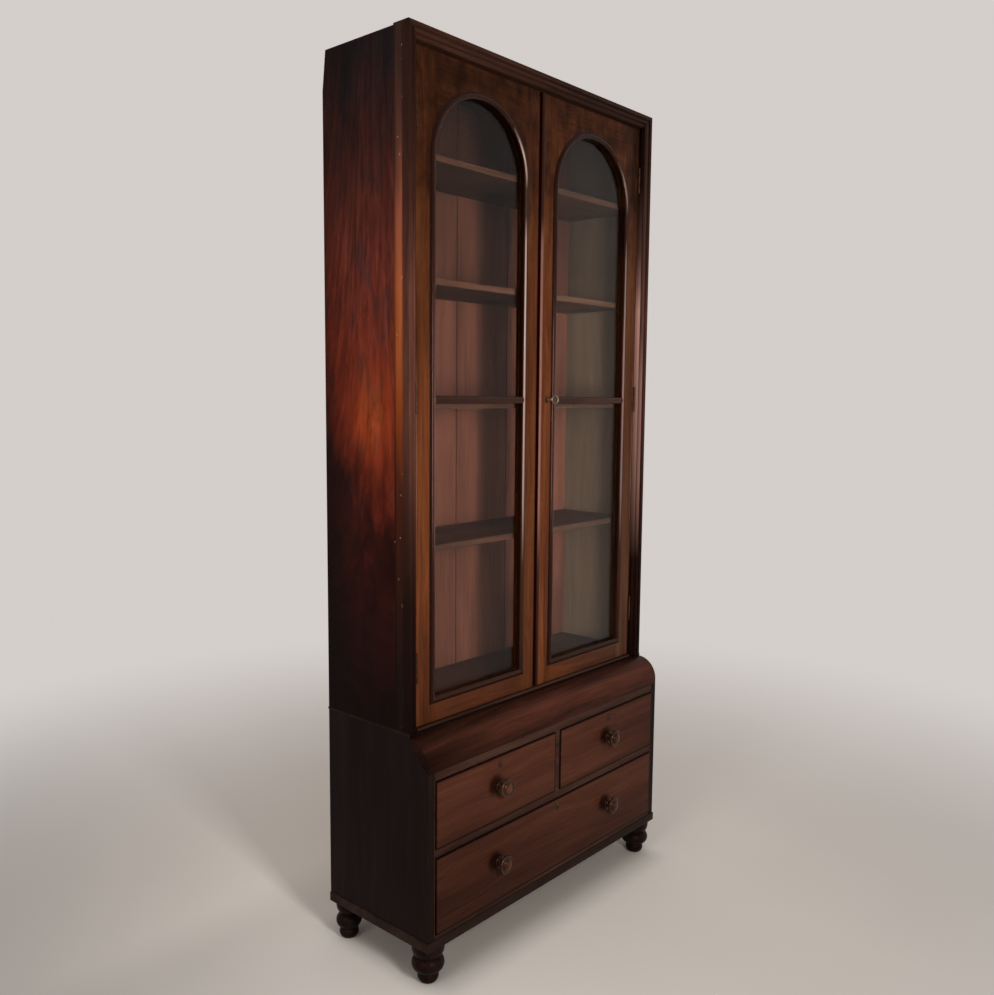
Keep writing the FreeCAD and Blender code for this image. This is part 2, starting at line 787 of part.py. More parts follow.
def cornice_moulding():
    """The top length of frame moulding, mitred at both ends."""
    section = face_of(lambda w, d: Vector(-half_width, case_face_y + d, total_height - w),
                      *moulding_section())
    length = section.extrude(Vector(width, 0, 0))
    inner = half_width - moulding_width
    low = total_height - moulding_width
    keep = bar_along_y(case_face_y, case_face_y + moulding_thickness, (-half_width, total_height),
                       (half_width, total_height), (inner, low), (-inner, low))
    return length.common(keep)


def waist_beads():
    """Half-round beads along the foot of the bookcase sides."""
    middle = (base_height + sill_top_z) / 2
    strip = bar_along_y(case_face_y, back_y, (half_width, base_height),
                        ((half_width + waist_bead_proud, middle), (half_width, sill_top_z)))
    return group(strip, mirrored(strip))


# Doors, drawn for the right-hand side

def sight_face(margin, z0, z1, y):
    """The glass opening grown by a margin, between two heights, round-headed if it reaches the arch."""
    x0 = sight_inner_x - margin
    x1 = sight_outer_x + margin
    if z1 <= spring_z:
        steps = [(x1, z0), (x1, z1), (x0, z1)]
    else:
        steps = [(x1, z0), (x1, spring_z), ((arch_x, spring_z + arch_radius + margin), (x0, spring_z))]
    return face_of(lambda x, z: Vector(x, y, z), (x0, z0), *steps)


def sight_prism(margin, y0, y1):
    """The whole glass opening grown by a margin, as a solid."""
    full = sight_face(margin, sight_bottom_z - margin, total_height, y0)
    return full.extrude(Vector(0, y1 - y0, 0))


def hinge_heights():
    """Middle of each hinge."""
    low = door_bottom_z + hinge_inset
    high = door_top_z - hinge_inset
    return [low, (low + high) / 2, high]


def door_leaf_recess(z):
    """Where a hinge leaf is let into the door's edge."""
    deep = leaf_thickness + leaf_gap / 2 - door_gap / 2
    return board(door_hinge_x - deep, door_hinge_x, door_face_y, hinge_y + leaf_depth,
                 z - hinge_length / 2, z + hinge_length / 2)


def door_members():
    """Hinge stile, meeting stile, bottom rail and arched top rail, rebated for the glass."""
    whole = board(door_meeting_x, door_hinge_x, door_face_y, door_back_y, door_bottom_z, door_top_z)
    whole = whole.cut([sight_prism(0, door_face_y - 1, door_back_y + 1),
                       sight_prism(rebate_width, rebate_y, door_back_y + 1)])
    middle = (sight_bottom_z + spring_z) / 2
    spans = {
        "hinge_stile": (sight_outer_x, door_hinge_x, door_bottom_z, door_top_z),
        "meeting_stile": (door_meeting_x, sight_inner_x, door_bottom_z, door_top_z),
        "bottom_rail": (sight_inner_x, sight_outer_x, door_bottom_z, middle),
        "arched_rail": (sight_inner_x, sight_outer_x, middle, door_top_z),
    }
    members = {}
    for name, (x0, x1, z0, z1) in spans.items():
        members[name] = whole.common(board(x0, x1, door_face_y, door_back_y, z0, z1))
    members["hinge_stile"] = members["hinge_stile"].cut([door_leaf_recess(z) for z in hinge_heights()])
    return members


def glazing_strips():
    """Strips that hold the panes in the rebate from behind."""
    outer = sight_prism(rebate_width, bead_back_y, door_back_y)
    ring = outer.cut(sight_prism(0, bead_back_y - 1, door_back_y + 1))
    x0 = sight_inner_x - rebate_width
    x1 = sight_outer_x + rebate_width
    low = sight_bottom_z - rebate_width
    spans = [(x0, sight_inner_x, low, spring_z), (sight_outer_x, x1, low, spring_z),
             (sight_inner_x, sight_outer_x, low, sight_bottom_z), (x0, x1, spring_z, door_top_z)]
    strips = [ring.common(board(a, b, bead_back_y, door_back_y, c, d)) for a, b, c, d in spans]
    half = glazing_tongue / 2
    for side in (-1, 1):
        z0, z1 = sorted((glazing_bar_z + side * half, glazing_bar_z + side * (half + rebate_width)))
        strips.append(board(sight_inner_x, sight_outer_x, bead_back_y, door_back_y, z0, z1))
    return strips


def door_glass():
    """Two clear panes, above and below the glazing bar."""
    y = rebate_y + slide_clearance / 2
    margin = rebate_width - glass_margin
    half = glazing_tongue / 2 + slide_clearance
    low = sight_face(margin, sight_bottom_z - margin, glazing_bar_z - half, y)
    high = sight_face(margin, glazing_bar_z + half, total_height, y)
    return group(*[pane.extrude(Vector(0, glass_thickness, 0)) for pane in (low, high)])


def bead_section():
    """Section of the bead around the glass: out from the sight line, and proud of the door's face."""
    edge = door_bead_proud * 0.3
    foot_width = door_bead_width * 0.8
    return [(0, 0), (0, edge), ((foot_width * 0.45, door_bead_proud), (foot_width, edge * 1.4)),
            (foot_width, edge * 0.6), (door_bead_width - 1, edge * 0.6), (door_bead_width, 0)]


def bar_outline(y0, y1, grow):
    """Plan of the glazing bar seen from the front, with pointed ends, grown by a margin."""
    half = door_bead_width / 2 + grow
    z = glazing_bar_z
    x0 = sight_inner_x
    x1 = sight_outer_x
    return bar_along_y(y0, y1, (x0 - half, z), (x0, z + half), (x1, z + half), (x1 + half, z),
                       (x1, z - half), (x0, z - half))


def glazing_bar():
    """A rounded bar across the opening, mitred into the side beads, with a tongue between the panes."""
    half = door_bead_width / 2
    z = glazing_bar_z
    proud_y = door_face_y - door_bead_proud
    edge_y = door_face_y - door_bead_proud * 0.3
    reach = half + 1
    nose = bar_along_x(sight_inner_x - reach, sight_outer_x + reach, (door_face_y, z - half),
                       (edge_y, z - half), ((proud_y, z), (edge_y, z + half)), (door_face_y, z + half))
    nose = nose.common(bar_outline(proud_y - 1, door_face_y, 0))
    web = board(sight_inner_x, sight_outer_x, door_face_y, rebate_y, z - half, z + half)
    tongue = board(sight_inner_x, sight_outer_x, rebate_y, door_back_y, z - glazing_tongue / 2,
                   z + glazing_tongue / 2)
    return nose.multiFuse([web, tongue]).removeSplitter()


def planted_bead():
    """Two upright lengths, a bottom length and the arch of the bead around the glass."""
    grow = door_bead_width
    low = sight_bottom_z - grow
    front = door_face_y - door_bead_proud - 1
    notch = bar_outline(front, door_face_y, joint_clearance)
    frame = bar_along_y(front, door_face_y, (sight_inner_x - grow, low), (sight_inner_x, sight_bottom_z),
                        (sight_inner_x, spring_z), (sight_inner_x - grow, spring_z))
    left = face_of(lambda w, h: Vector(sight_inner_x - w, door_face_y - h, low), *bead_section())
    left = left.extrude(Vector(0, 0, spring_z - low)).common(frame).cut(notch)
    right = left.mirror(Vector(arch_x, 0, 0), Vector(1, 0, 0))
    bottom = face_of(lambda w, h: Vector(sight_inner_x - grow, door_face_y - h, sight_bottom_z - w),
                     *bead_section())
    frame = bar_along_y(front, door_face_y, (sight_inner_x - grow, low), (sight_outer_x + grow, low),
                        (sight_outer_x, sight_bottom_z), (sight_inner_x, sight_bottom_z))
    bottom = bottom.extrude(Vector(2 * (arch_radius + grow), 0, 0)).common(frame)
    arch = face_of(lambda w, h: Vector(sight_outer_x + w, door_face_y - h, spring_z), *bead_section())
    arch = arch.revolve(Vector(arch_x, door_face_y, spring_z), Vector(0, -1, 0), 180)
    return [left, right, bottom, arch]


def meeting_bead():
    """The bead down the edge of the right-hand door, beside the gap."""
    x0 = door_meeting_x
    x1 = x0 + meeting_bead_width
    return bar_along_z(door_bottom_z, door_top_z, (x0, door_face_y),
                       (((x0 + x1) / 2, door_face_y - meeting_bead_proud), (x1, door_face_y)))


def knuckles(z, on_door):
    """The knuckles of one hinge that belong to the door, or to the frame."""
    step = hinge_length / knuckle_count
    low = z - hinge_length / 2
    spans = [(low + index * step, low + (index + 1) * step) for index in range(knuckle_count)]
    return spans[1::2] if on_door else spans[0::2]


def hinge_leaf(z, on_door):
    """One leaf with its knuckles; the frame's leaf carries the pin."""
    edge = hinge_x - leaf_gap / 2 if on_door else hinge_x + leaf_gap / 2
    x0, x1 = sorted((edge, edge - leaf_thickness if on_door else edge + leaf_thickness))
    plate = board(x0, x1, hinge_y, hinge_y + leaf_depth, z - hinge_length / 2, z + hinge_length / 2)
    middle = Vector(hinge_x, hinge_y, 0)
    room = knuckle_radius + resting_gap
    play = Vector(0, 0, knuckle_play)
    clear = [rod(room, middle + Vector(0, 0, a) - play, middle + Vector(0, 0, b) + play)
             for a, b in knuckles(z, not on_door)]
    leaf = plate.cut(clear)
    barrels = [rod(knuckle_radius, middle + Vector(0, 0, a) + play, middle + Vector(0, 0, b) - play)
               for a, b in knuckles(z, on_door)]
    leaf = leaf.multiFuse(barrels)
    low = Vector(hinge_x, hinge_y, z - hinge_length / 2) + play
    high = Vector(hinge_x, hinge_y, z + hinge_length / 2) - play
    if on_door:
        return leaf.cut(rod(hinge_pin_radius + pin_clearance, low, high))
    return leaf.fuse(rod(hinge_pin_radius, low, high)).removeSplitter()


def right_door_frame():
    """The right-hand door's members, with the pocket and the keyhole of its lock."""
    members = door_members()
    z0 = door_lock_z - door_lock_below
    z1 = door_lock_z + door_lock_above
    pocket = board(door_meeting_x, door_meeting_x + door_lock_width, rebate_y, door_back_y, z0, z1)
    members["meeting_stile"] = members["meeting_stile"].cut(
        [pocket, keyhole(key_x, door_lock_z, door_face_y, rebate_y)])
    return group(*members.values(), *glazing_strips())


def meeting_edge_round_off():
    """What is planed off the front corner of the left-hand door's meeting edge."""
    edge = (door_meeting_x, door_face_y + meeting_edge_round)
    corner = (door_meeting_x, door_face_y)
    face = (door_meeting_x + meeting_edge_round, door_face_y)
    return bar_along_z(door_bottom_z, door_top_z, corner, edge, eased(edge, corner, face))


def left_door_frame():
    """The left-hand door's members, with the mortise for the lock bolt and a rounded meeting edge."""
    members = door_members()
    y0, y1, z0, z1 = door_bolt_box(mortise_clearance)
    mortise = board(door_meeting_x, door_meeting_x + door_bolt_throw + mortise_clearance, y0, y1, z0, z1)
    members["meeting_stile"] = members["meeting_stile"].cut([mortise, meeting_edge_round_off()])
    return mirrored(group(*members.values(), *glazing_strips()))


def door_bolt_box(grow):
    """Depth and height that the lock bolt takes up, grown by a margin."""
    middle = (rebate_y + door_back_y) / 2
    half = door_bolt_thickness / 2 + grow
    low = door_lock_z + door_bolt_rise
    return middle - half, middle + half, low - grow, low + door_bolt_height + grow


def door_lock():
    """The lock case in the right-hand door's meeting stile, and the plate around its keyhole."""
    x0 = door_meeting_x
    x1 = x0 + door_lock_width
    z0 = door_lock_z - door_lock_below
    z1 = door_lock_z + door_lock_above
    case = board(x0, x1, rebate_y, door_back_y, z0, z1)
    hollow = board(x0 + lock_wall, x1 - lock_wall, rebate_y + lock_wall, door_back_y - lock_wall,
                   z0 + lock_wall, z1 - lock_wall)
    mouth = board(x0, x0 + 2 * lock_wall, *door_bolt_box(slide_clearance))
    post = rod(key_radius + pin_clearance, Vector(key_x, rebate_y, door_lock_z),
               Vector(key_x, rebate_y + 2 * lock_wall, door_lock_z))
    return group(case.cut([hollow, mouth, post]), keyhole_plate(key_x, door_lock_z, door_face_y))


def door_lock_bolt():
    """The lock bolt, drawn back level with the door's edge."""
    x0 = door_meeting_x + slide_clearance
    return board(x0, x0 + door_bolt_length, *door_bolt_box(0))


def door_key():
    """The key: a shank through the keyhole, a bit inside the lock and a ring-shaped bow."""
    inside = Vector(key_x, door_back_y - lock_wall - bit_gap, door_lock_z)
    collar = Vector(key_x, door_face_y - key_length + bow_radius + bow_wire / 2, door_lock_z)
    shank = rod(key_radius, inside, collar)
    centre = Vector(key_x, door_face_y - key_length, door_lock_z)
    bow = Part.makeTorus(bow_radius, bow_wire, centre, Vector(1, 0, 0))
    bit_y = rebate_y + lock_wall + bit_gap
    bit = board(key_x - bit_width / 2, key_x + bit_width / 2, bit_y, inside.y,
                door_lock_z - bit_length, door_lock_z)
    ring = rod(key_collar_radius, collar, collar + Vector(0, key_collar_length, 0))
    return shank.multiFuse([bow, bit, ring])


def slip_bolt_span(upper):
    """Lowest and highest point of one of the left door's bolts, drawn back."""
    if upper:
        top = case_top_z - case_top_thickness - door_stop_height - door_gap
        return top - slip_bolt_length, top
    bottom = floor_top_z + door_gap
    return bottom, bottom + slip_bolt_length


def slip_bolt(upper):
    """A round bolt with a small knob, inside the left door."""
    z0, z1 = slip_bolt_span(upper)
    x = -(door_meeting_x + slip_bolt_inset)
    middle = (z0 + z1) / 2
    bar = rod(slip_bolt_radius, Vector(x, slip_bolt_y, z0), Vector(x, slip_bolt_y, z1))
    tip = Vector(x, slip_bolt_y + slip_grip_length, middle)
    grip = rod(slip_grip_radius, Vector(x, slip_bolt_y, middle), tip)
    head = Part.makeSphere(slip_knob_radius, tip)
    return bar.multiFuse([grip, head]).removeSplitter()


def slip_plate(upper):
    """The plate and two staples that guide one of the left door's bolts."""
    z0, z1 = slip_bolt_span(upper)
    x = -(door_meeting_x + slip_bolt_inset)
    middle = (z0 + z1) / 2
    half = slip_plate_length / 2
    plate = board(x - slip_plate_width / 2, x + slip_plate_width / 2, door_back_y,
                  door_back_y + slip_plate_thickness, middle - half, middle + half)
    reach = slip_bolt_radius + slip_staple_wall
    for z in (middle - half, middle + half - slip_staple_length):
        staple = board(x - reach, x + reach, door_back_y + slip_plate_thickness, slip_bolt_y + reach,
                       z, z + slip_staple_length)
        plate = plate.fuse(staple)
    hole = rod(slip_bolt_radius + pin_clearance, Vector(x, slip_bolt_y, z0), Vector(x, slip_bolt_y, z1))
    return plate.cut(hole).removeSplitter()


def door_bolt_plates():
    return group(slip_plate(False), slip_plate(True))


def drawer_plans():
    """The three drawers."""
    half = divider_width / 2
    end = base_inner_x
    knob_x = long_knob_spacing / 2
    short = (short_opening_z, short_opening_height)
    long = (long_opening_z, long_opening_height)
    return [
        DrawerPlan("left_drawer", -end, -half, *short, [-short_drawer_x]),
        DrawerPlan("right_drawer", half, end, *short, [short_drawer_x]),
        DrawerPlan("long_drawer", -end, end, *long, [-knob_x, knob_x]),
    ]


def build():
    """Every node of the cabinet, by name."""
    nodes = {
        "base_side_left": mirrored(base_side()),
        "base_side_right": base_side(),
        "base_top": base_top(),
        "base_floor": base_floor(),
        "base_back": base_back(),
        "frieze": frieze(),
        "drawer_rails": drawer_rails(),
        "drawer_divider": drawer_divider(),
        "drawer_runners": drawer_runners(),
        "plinth_moulding": plinth_moulding(),
        "opening_beads": opening_beads(),
        "case_side_left": mirrored(case_side()),
        "case_side_right": case_side(),
        "case_top": case_top(),
        "case_floor": case_floor(),
        "sill_rail": sill_rail(),
        "door_stop": door_stop(),
        "back_boards": back_boards(),
        "face_frame": face_frame(),
        "left_frame_moulding": mirrored(side_moulding()),
        "right_frame_moulding": side_moulding(),
        "cornice_moulding": cornice_moulding(),
        "waist_beads": waist_beads(),
        "locating_dowels": group(*dowels(dowel_radius)),
        "left_door_frame": left_door_frame(),
        "right_door_frame": right_door_frame(),
        "left_door_glass": mirrored(door_glass()),
        "right_door_glass": door_glass(),
        "left_door_bead": mirrored(group(*planted_bead(), glazing_bar())),
        "right_door_bead": group(*planted_bead(), glazing_bar(), meeting_bead()),
        "door_lock": door_lock(),
        "door_lock_bolt": door_lock_bolt(),
        "door_key": door_key(),
        "door_bolt_plates": door_bolt_plates(),
        "bottom_door_bolt": slip_bolt(False),
        "top_door_bolt": slip_bolt(True),
    }
    for name, places in foot_places().items():
        radii = front_foot_radii if name == "front_feet" else rear_foot_radii
        nodes[name] = group(*[foot(axis, radii) for axis in places])
    for number, top in enumerate(shelf_tops(), start=1):
        nodes[f"shelf_{number}"] = shelf(top)
    door_leaves = group(*[hinge_leaf(z, True) for z in hinge_heights()])
    frame_leaves = group(*[hinge_leaf(z, False) for z in hinge_heights()])
    nodes["right_hinge_leaves"] = door_leaves
    nodes["left_hinge_leaves"] = mirrored(door_leaves)
    nodes["frame_hinge_leaves"] = group(frame_leaves, mirrored(frame_leaves))
    for plan in drawer_plans():
        nodes[f"{plan.name}_front"] = drawer_front(plan)
        nodes[f"{plan.name}_box"] = drawer_box(plan)
        nodes[f"{plan.name}_knob"] = group(*[knob(x, plan.knob_z) for x in plan.knob_xs])
        nodes[f"{plan.name}_lock"] = drawer_lock(plan)
        nodes[f"{plan.name}_bolt"] = drawer_bolt_box(plan, 0)
    return nodes


os.makedirs("parts", exist_ok=True)
for node, shape in build().items():
    if not shape.isValid():
        print("not valid:", node)
    shape.exportStep(f"parts/{node}.step")
print("done")
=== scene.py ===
import math

import bmesh
import bpy
from mathutils import Matrix, Vector


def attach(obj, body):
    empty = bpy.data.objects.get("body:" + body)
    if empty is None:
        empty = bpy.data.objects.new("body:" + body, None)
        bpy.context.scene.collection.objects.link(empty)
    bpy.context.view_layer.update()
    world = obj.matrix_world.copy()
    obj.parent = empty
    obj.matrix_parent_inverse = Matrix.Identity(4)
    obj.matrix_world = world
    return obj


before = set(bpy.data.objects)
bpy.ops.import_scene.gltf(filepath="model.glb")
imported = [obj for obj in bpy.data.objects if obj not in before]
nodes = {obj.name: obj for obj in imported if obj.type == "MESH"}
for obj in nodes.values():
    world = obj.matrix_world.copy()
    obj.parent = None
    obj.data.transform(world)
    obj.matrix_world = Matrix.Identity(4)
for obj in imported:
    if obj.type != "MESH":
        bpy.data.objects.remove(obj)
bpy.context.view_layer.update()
scene = bpy.context.scene

# Metres, in the part's own frame: X along the front, -Y the front, Z up from the floor.

SKIN = 0.0003  # how far a mask reaches past the face that it marks

# Bookcase
HALF_WIDTH = 0.504
CASE_INNER = 0.482
BOARD_WIDTH = 0.221
FRAME_OPENING_TOP = 2.262
FRAME_OPENING_SIDE = 0.466

# Doors: their faces, their edges, and the edge of the visible glass
DOOR_FACE = -0.083
DOOR_BACK = -0.059
DOOR_MIDDLE = 1.4
HINGE_EDGE = 0.464
MEETING_EDGE = 0.0015
MEETING_ROUND = 0.012
SIGHT_INNER = 0.0705
SIGHT_OUTER = 0.4
SIGHT_BOTTOM = 0.706
SPRING = 2.02025
ARCH_MIDDLE = (SIGHT_INNER + SIGHT_OUTER) / 2
ARCH_RADIUS = (SIGHT_OUTER - SIGHT_INNER) / 2

# Drawers: two short ones above ROW_SPLIT, a long one below
DRAWER_FACE = -0.17
DRAWER_BACK = -0.148
DRAWER_END = 0.4785
DRAWER_GAP = 0.0115
ROW_SPLIT = 0.345
LONG_BOTTOM, LONG_TOP = 0.1395, 0.3355
SHORT_BOTTOM, SHORT_TOP = 0.3595, 0.5305
KNOB_X = 0.245
SHORT_KNOB_Z = 0.4495
LONG_KNOB_Z = 0.242


# Node trees

class Graph:
    """A short way to write a node tree: values that are sockets get linked."""

    def __init__(self, tree):
        self.tree = tree

    def add(self, kind, inputs=None, **settings):
        made = self.tree.nodes.new("ShaderNode" + kind)
        for key, value in settings.items():
            setattr(made, key, value)
        for key, value in (inputs or {}).items():
            if isinstance(value, bpy.types.NodeSocket):
                self.tree.links.new(value, made.inputs[key])
            else:
                made.inputs[key].default_value = value
        return made

    # Numbers

    def math(self, operation, a, b=0.0, c=0.0, clamp=False):
        made = self.add("Math", {0: a, 1: b, 2: c}, operation=operation, use_clamp=clamp)
        return made.outputs[0]

    def product(self, first, *others):
        for other in others:
            first = self.math("MULTIPLY", first, other)
        return first

    def less(self, a, b):
        """The difference a - b."""
        return self.math("SUBTRACT", a, b)

    def scaled(self, value, factor, plus):
        return self.math("MULTIPLY_ADD", value, factor, plus)

    def swing(self, noise, size, middle):
        """A number that strays about the middle as the noise strays about a half."""
        return self.scaled(self.less(noise, 0.5), size, middle)

    def blend(self, factor, a, b):
        """A number between a and b."""
        return self.add("Mix", {0: factor, 2: a, 3: b}, data_type="FLOAT").outputs[0]

    def above(self, value, limit):
        return self.math("GREATER_THAN", value, limit)

    def below(self, value, limit):
        return self.math("LESS_THAN", value, limit)

    def inside(self, value, low, high):
        """1 between two limits, 0 outside."""
        return self.product(self.above(value, low), self.below(value, high))

    def inset(self, value, low, high):
        """How far a coordinate lies inside two limits."""
        return self.math("MINIMUM", self.less(value, low), self.less(high, value))

    def between(self, value, low, high, soft=True):
        """0 at low, 1 at high and a ramp between; low may be the larger."""
        start, end = (0.0, 1.0) if low < high else (1.0, 0.0)
        limits = {0: value, 1: min(low, high), 2: max(low, high), 3: start, 4: end}
        kind = "SMOOTHSTEP" if soft else "LINEAR"
        return self.add("MapRange", limits, interpolation_type=kind).outputs[0]

    def band(self, value, low, full, last, high):
        """Rises from 0 at low to 1 at full, and falls from 1 at last to 0 at high."""
        return self.product(self.between(value, low, full), self.between(value, high, last))

    # Vectors

    def vector(self, operation, a, b):
        return self.add("VectorMath", {0: a, 1: b}, operation=operation).outputs[0]

    def length(self, vector):
        return self.add("VectorMath", {0: vector}, operation="LENGTH").outputs["Value"]

    def split(self, vector):
        return self.add("SeparateXYZ", {0: vector}).outputs

    def join(self, x, y, z):
        return self.add("CombineXYZ", {0: x, 1: y, 2: z}).outputs[0]

    def reach(self, u, v):
        """How far a point in a plane lies from its origin."""
        return self.length(self.join(u, 0.0, v))

    # Patterns

    def noise(self, vector, scale=1.0, detail=2.0, roughness=0.5, distortion=0.0):
        inputs = {"Vector": vector, "Scale": scale, "Detail": detail, "Roughness": roughness,
                  "Distortion": distortion}
        return self.add("TexNoise", inputs).outputs["Fac"]

    def stretched(self, vector, stretch, **settings):
        """Noise with a scale of its own along each axis."""
        return self.noise(self.vector("MULTIPLY", vector, stretch), **settings)

    def ramp(self, factor, stops):
        made = self.add("ValToRGB", {0: factor})
        band = made.color_ramp
        while len(band.elements) < len(stops):
            band.elements.new(0.5)
        for element, (place, colour) in zip(band.elements, stops):
            element.position = place
            element.color = (*colour, 1)
        return made.outputs[0]

    def along(self, value, *stops):
        """A colour, or a number up to 1, that follows a coordinate through stops in metres."""
        low, high = stops[0][0], stops[-1][0]
        share = self.between(value, low, high, soft=False)
        shares = [(place - low) / (high - low) for place, given in stops]
        colours = [(given,) * 3 if isinstance(given, float) else given for place, given in stops]
        return self.ramp(share, list(zip(shares, colours)))

    # Colours

    def mix(self, factor, a, b, blend="MIX"):
        made = self.add("Mix", {0: factor, 6: a, 7: b}, data_type="RGBA", blend_type=blend)
        return made.outputs[2]

    def darken(self, colour, level):
        """The colour times a level."""
        return self.mix(1.0, colour, self.join(level, level, level), blend="MULTIPLY")

    def shade(self, colour, mask, *shares):
        """Darker where the mask is 1, by the product of the shares."""
        return self.darken(colour, self.less(1.0, self.product(mask, *shares)))

    def recolour(self, colour, factors, mask, *shares):
        """Red, green and blue times their factors where the mask is 1."""
        return self.mix(self.product(mask, *shares), colour, (*factors, 1), blend="MULTIPLY")

    def paint(self, colour, coat, mask, *shares):
        """A coat over the colour where the mask is 1, thinned by the shares."""
        return self.mix(self.product(mask, *shares), colour, (*coat, 1))


def timber_group():
    """Timber seen along its grain: X and Y of the vector run across it, Z along it, in metres."""
    tree = bpy.data.node_groups.new("timber", "ShaderNodeTree")
    sockets = {
        "INPUT": {"Vector": "Vector", "Dark": "Color", "Mid": "Color", "Light": "Color",
                  "Figure": "Float"},
        "OUTPUT": {"Color": "Color", "Tone": "Float", "Grain": "Float", "Pores": "Float"}}
    for way, kinds in sockets.items():
        for key, kind in kinds.items():
            tree.interface.new_socket(key, in_out=way, socket_type="NodeSocket" + kind)
    given = tree.nodes.new("NodeGroupInput").outputs
    out = tree.nodes.new("NodeGroupOutput").inputs
    graph = Graph(tree)
    place = given["Vector"]
    sway = graph.swing(graph.stretched(place, (3.0, 3.0, 1.4)), 0.09, 0.0)
    bent = graph.vector("ADD", place, graph.join(sway, sway, 0.0))
    broad = graph.stretched(bent, (9.0, 9.0, 1.1), detail=3.0, distortion=0.5)
    flame = graph.stretched(bent, (34.0, 34.0, 2.2), detail=5.0, roughness=0.6, distortion=0.9)
    ribbon = graph.stretched(bent, (120.0, 120.0, 1.6))
    line = graph.stretched(bent, (420.0, 420.0, 7.0), roughness=0.6)
    pores = graph.between(graph.stretched(place, (1500.0, 1500.0, 60.0), detail=1.0), 0.62, 0.72)
    tone = graph.swing(graph.blend(0.5, broad, flame), given["Figure"], 0.5)
    tone = graph.swing(ribbon, 0.22, tone)
    tone = graph.swing(line, 0.25, tone)
    low = graph.mix(graph.between(tone, 0.3, 0.5, soft=False), given["Dark"], given["Mid"])
    colour = graph.mix(graph.between(tone, 0.5, 0.74, soft=False), low, given["Light"])
    colour = graph.shade(colour, pores, 0.28)
    for key, socket in (("Color", colour), ("Tone", tone), ("Grain", line), ("Pores", pores)):
        tree.links.new(socket, out[key])
    return tree


TIMBER = timber_group()


# Materials

WARM_POLISH = (1.0, 0.45, 0.35, 1)
WORN_ARRIS = (0.16, 0.065, 0.03)


def material(name):
    made = bpy.data.materials.new(name)
    made.use_nodes = True
    made.node_tree.nodes.clear()
    return made, Graph(made.node_tree)


def finish_shader(graph, colour, roughness, normal, **constants):
    """A Principled shader at the material's output; its constants are set on its own sockets."""
    inputs = {"Base Color": colour, "Roughness": roughness, "Normal": normal}
    shader = graph.add("BsdfPrincipled", {**inputs, **constants})
    graph.add("OutputMaterial", {"Surface": shader.outputs[0]})


def grain_vector(graph, place, grain, offset):
    """Object coordinates turned so that Z runs along the grain."""
    x, y, z = graph.split(graph.vector("ADD", place, offset))
    turned = {"x": (y, z, x), "y": (x, z, y), "z": (x, y, z)}
    return graph.join(*turned[grain])


def wear_mask(graph, place, radius, scale):
    """1 on outer arrises where the surface has rubbed off in patches, and the rounded normal."""
    rounded = graph.add("Bevel", {"Radius": radius}, samples=4).outputs[0]
    true = graph.add("NewGeometry").outputs["True Normal"]
    turn = graph.add("VectorMath", {0: rounded, 1: true}, operation="DOT_PRODUCT").outputs["Value"]
    edge = graph.between(graph.less(1.0, turn), 0.06, 0.22)
    patch = graph.between(graph.noise(place, scale=scale, detail=3.0), 0.5, 0.68)
    return graph.product(edge, patch), rounded


def polished(name, tones, offset, grain="z", figure=1.0, rough=0.3, wear=0.4, specular=0.045,
             coat=0.0, cross=None, tint=None):
    """Polished timber in its dark, middle and light tones.

    The offset keeps one timber's figure apart from the next one's. cross gives where the grain
    turns to run along X, and tint changes the colour from place to place.
    """
    made, graph = material(name)
    place = graph.add("TexCoord").outputs["Object"]
    vector = grain_vector(graph, place, grain, offset)
    if cross is not None:
        turned = grain_vector(graph, place, "x", offset)
        both = {0: cross(graph, place), 4: vector, 5: turned}
        vector = graph.add("Mix", both, data_type="VECTOR").outputs[1]
    dark, middle, light = ((*tone, 1) for tone in tones)
    timber = graph.add("Group", {"Vector": vector, "Dark": dark, "Mid": middle, "Light": light,
                                 "Figure": figure}, node_tree=TIMBER).outputs
    colour, pores = timber["Color"], timber["Pores"]
    if tint is not None:
        colour = tint(graph, place, colour, timber["Tone"])
    edge, rounded = wear_mask(graph, place, radius=0.0015, scale=60.0)
    colour = graph.paint(colour, WORN_ARRIS, edge, wear)
    cloud = graph.noise(place, scale=7.0, detail=4.0, roughness=0.6)
    roughness = graph.swing(cloud, 0.25, rough)
    roughness = graph.math("MULTIPLY_ADD", pores, 0.12, roughness, clamp=True)
    height = graph.scaled(timber["Grain"], 0.25, graph.product(pores, -0.6))
    height = graph.scaled(graph.noise(vector, scale=9.0, detail=1.0), 3.0, height)
    bump = graph.add("Bump", {"Strength": 0.25, "Distance": 0.0004, "Height": height,
                              "Normal": rounded}).outputs[0]
    finish_shader(graph, colour, roughness, bump, **{
        "Specular IOR Level": specular, "Specular Tint": WARM_POLISH,
        "Coat Weight": coat, "Coat Roughness": 0.12})
    return made


def aged_brass(name, dark, middle, light, bright):
    """Dull brass, browned in patches and brighter on its edges."""
    made, graph = material(name)
    place = graph.add("TexCoord").outputs["Object"]
    cloud = graph.noise(place, scale=90.0, detail=5.0, roughness=0.65)
    colour = graph.ramp(cloud, [(0.3, dark), (0.5, middle), (0.72, light)])
    edge, rounded = wear_mask(graph, place, radius=0.0006, scale=200.0)
    colour = graph.paint(colour, bright, edge, 0.7)
    scratch = graph.stretched(place, (900.0, 900.0, 60.0))
    bump = graph.add("Bump", {"Strength": 0.2, "Distance": 0.0001, "Height": scratch,
                              "Normal": rounded}).outputs[0]
    finish_shader(graph, colour, graph.scaled(cloud, 0.3, 0.3), bump, Metallic=0.9)
    return made


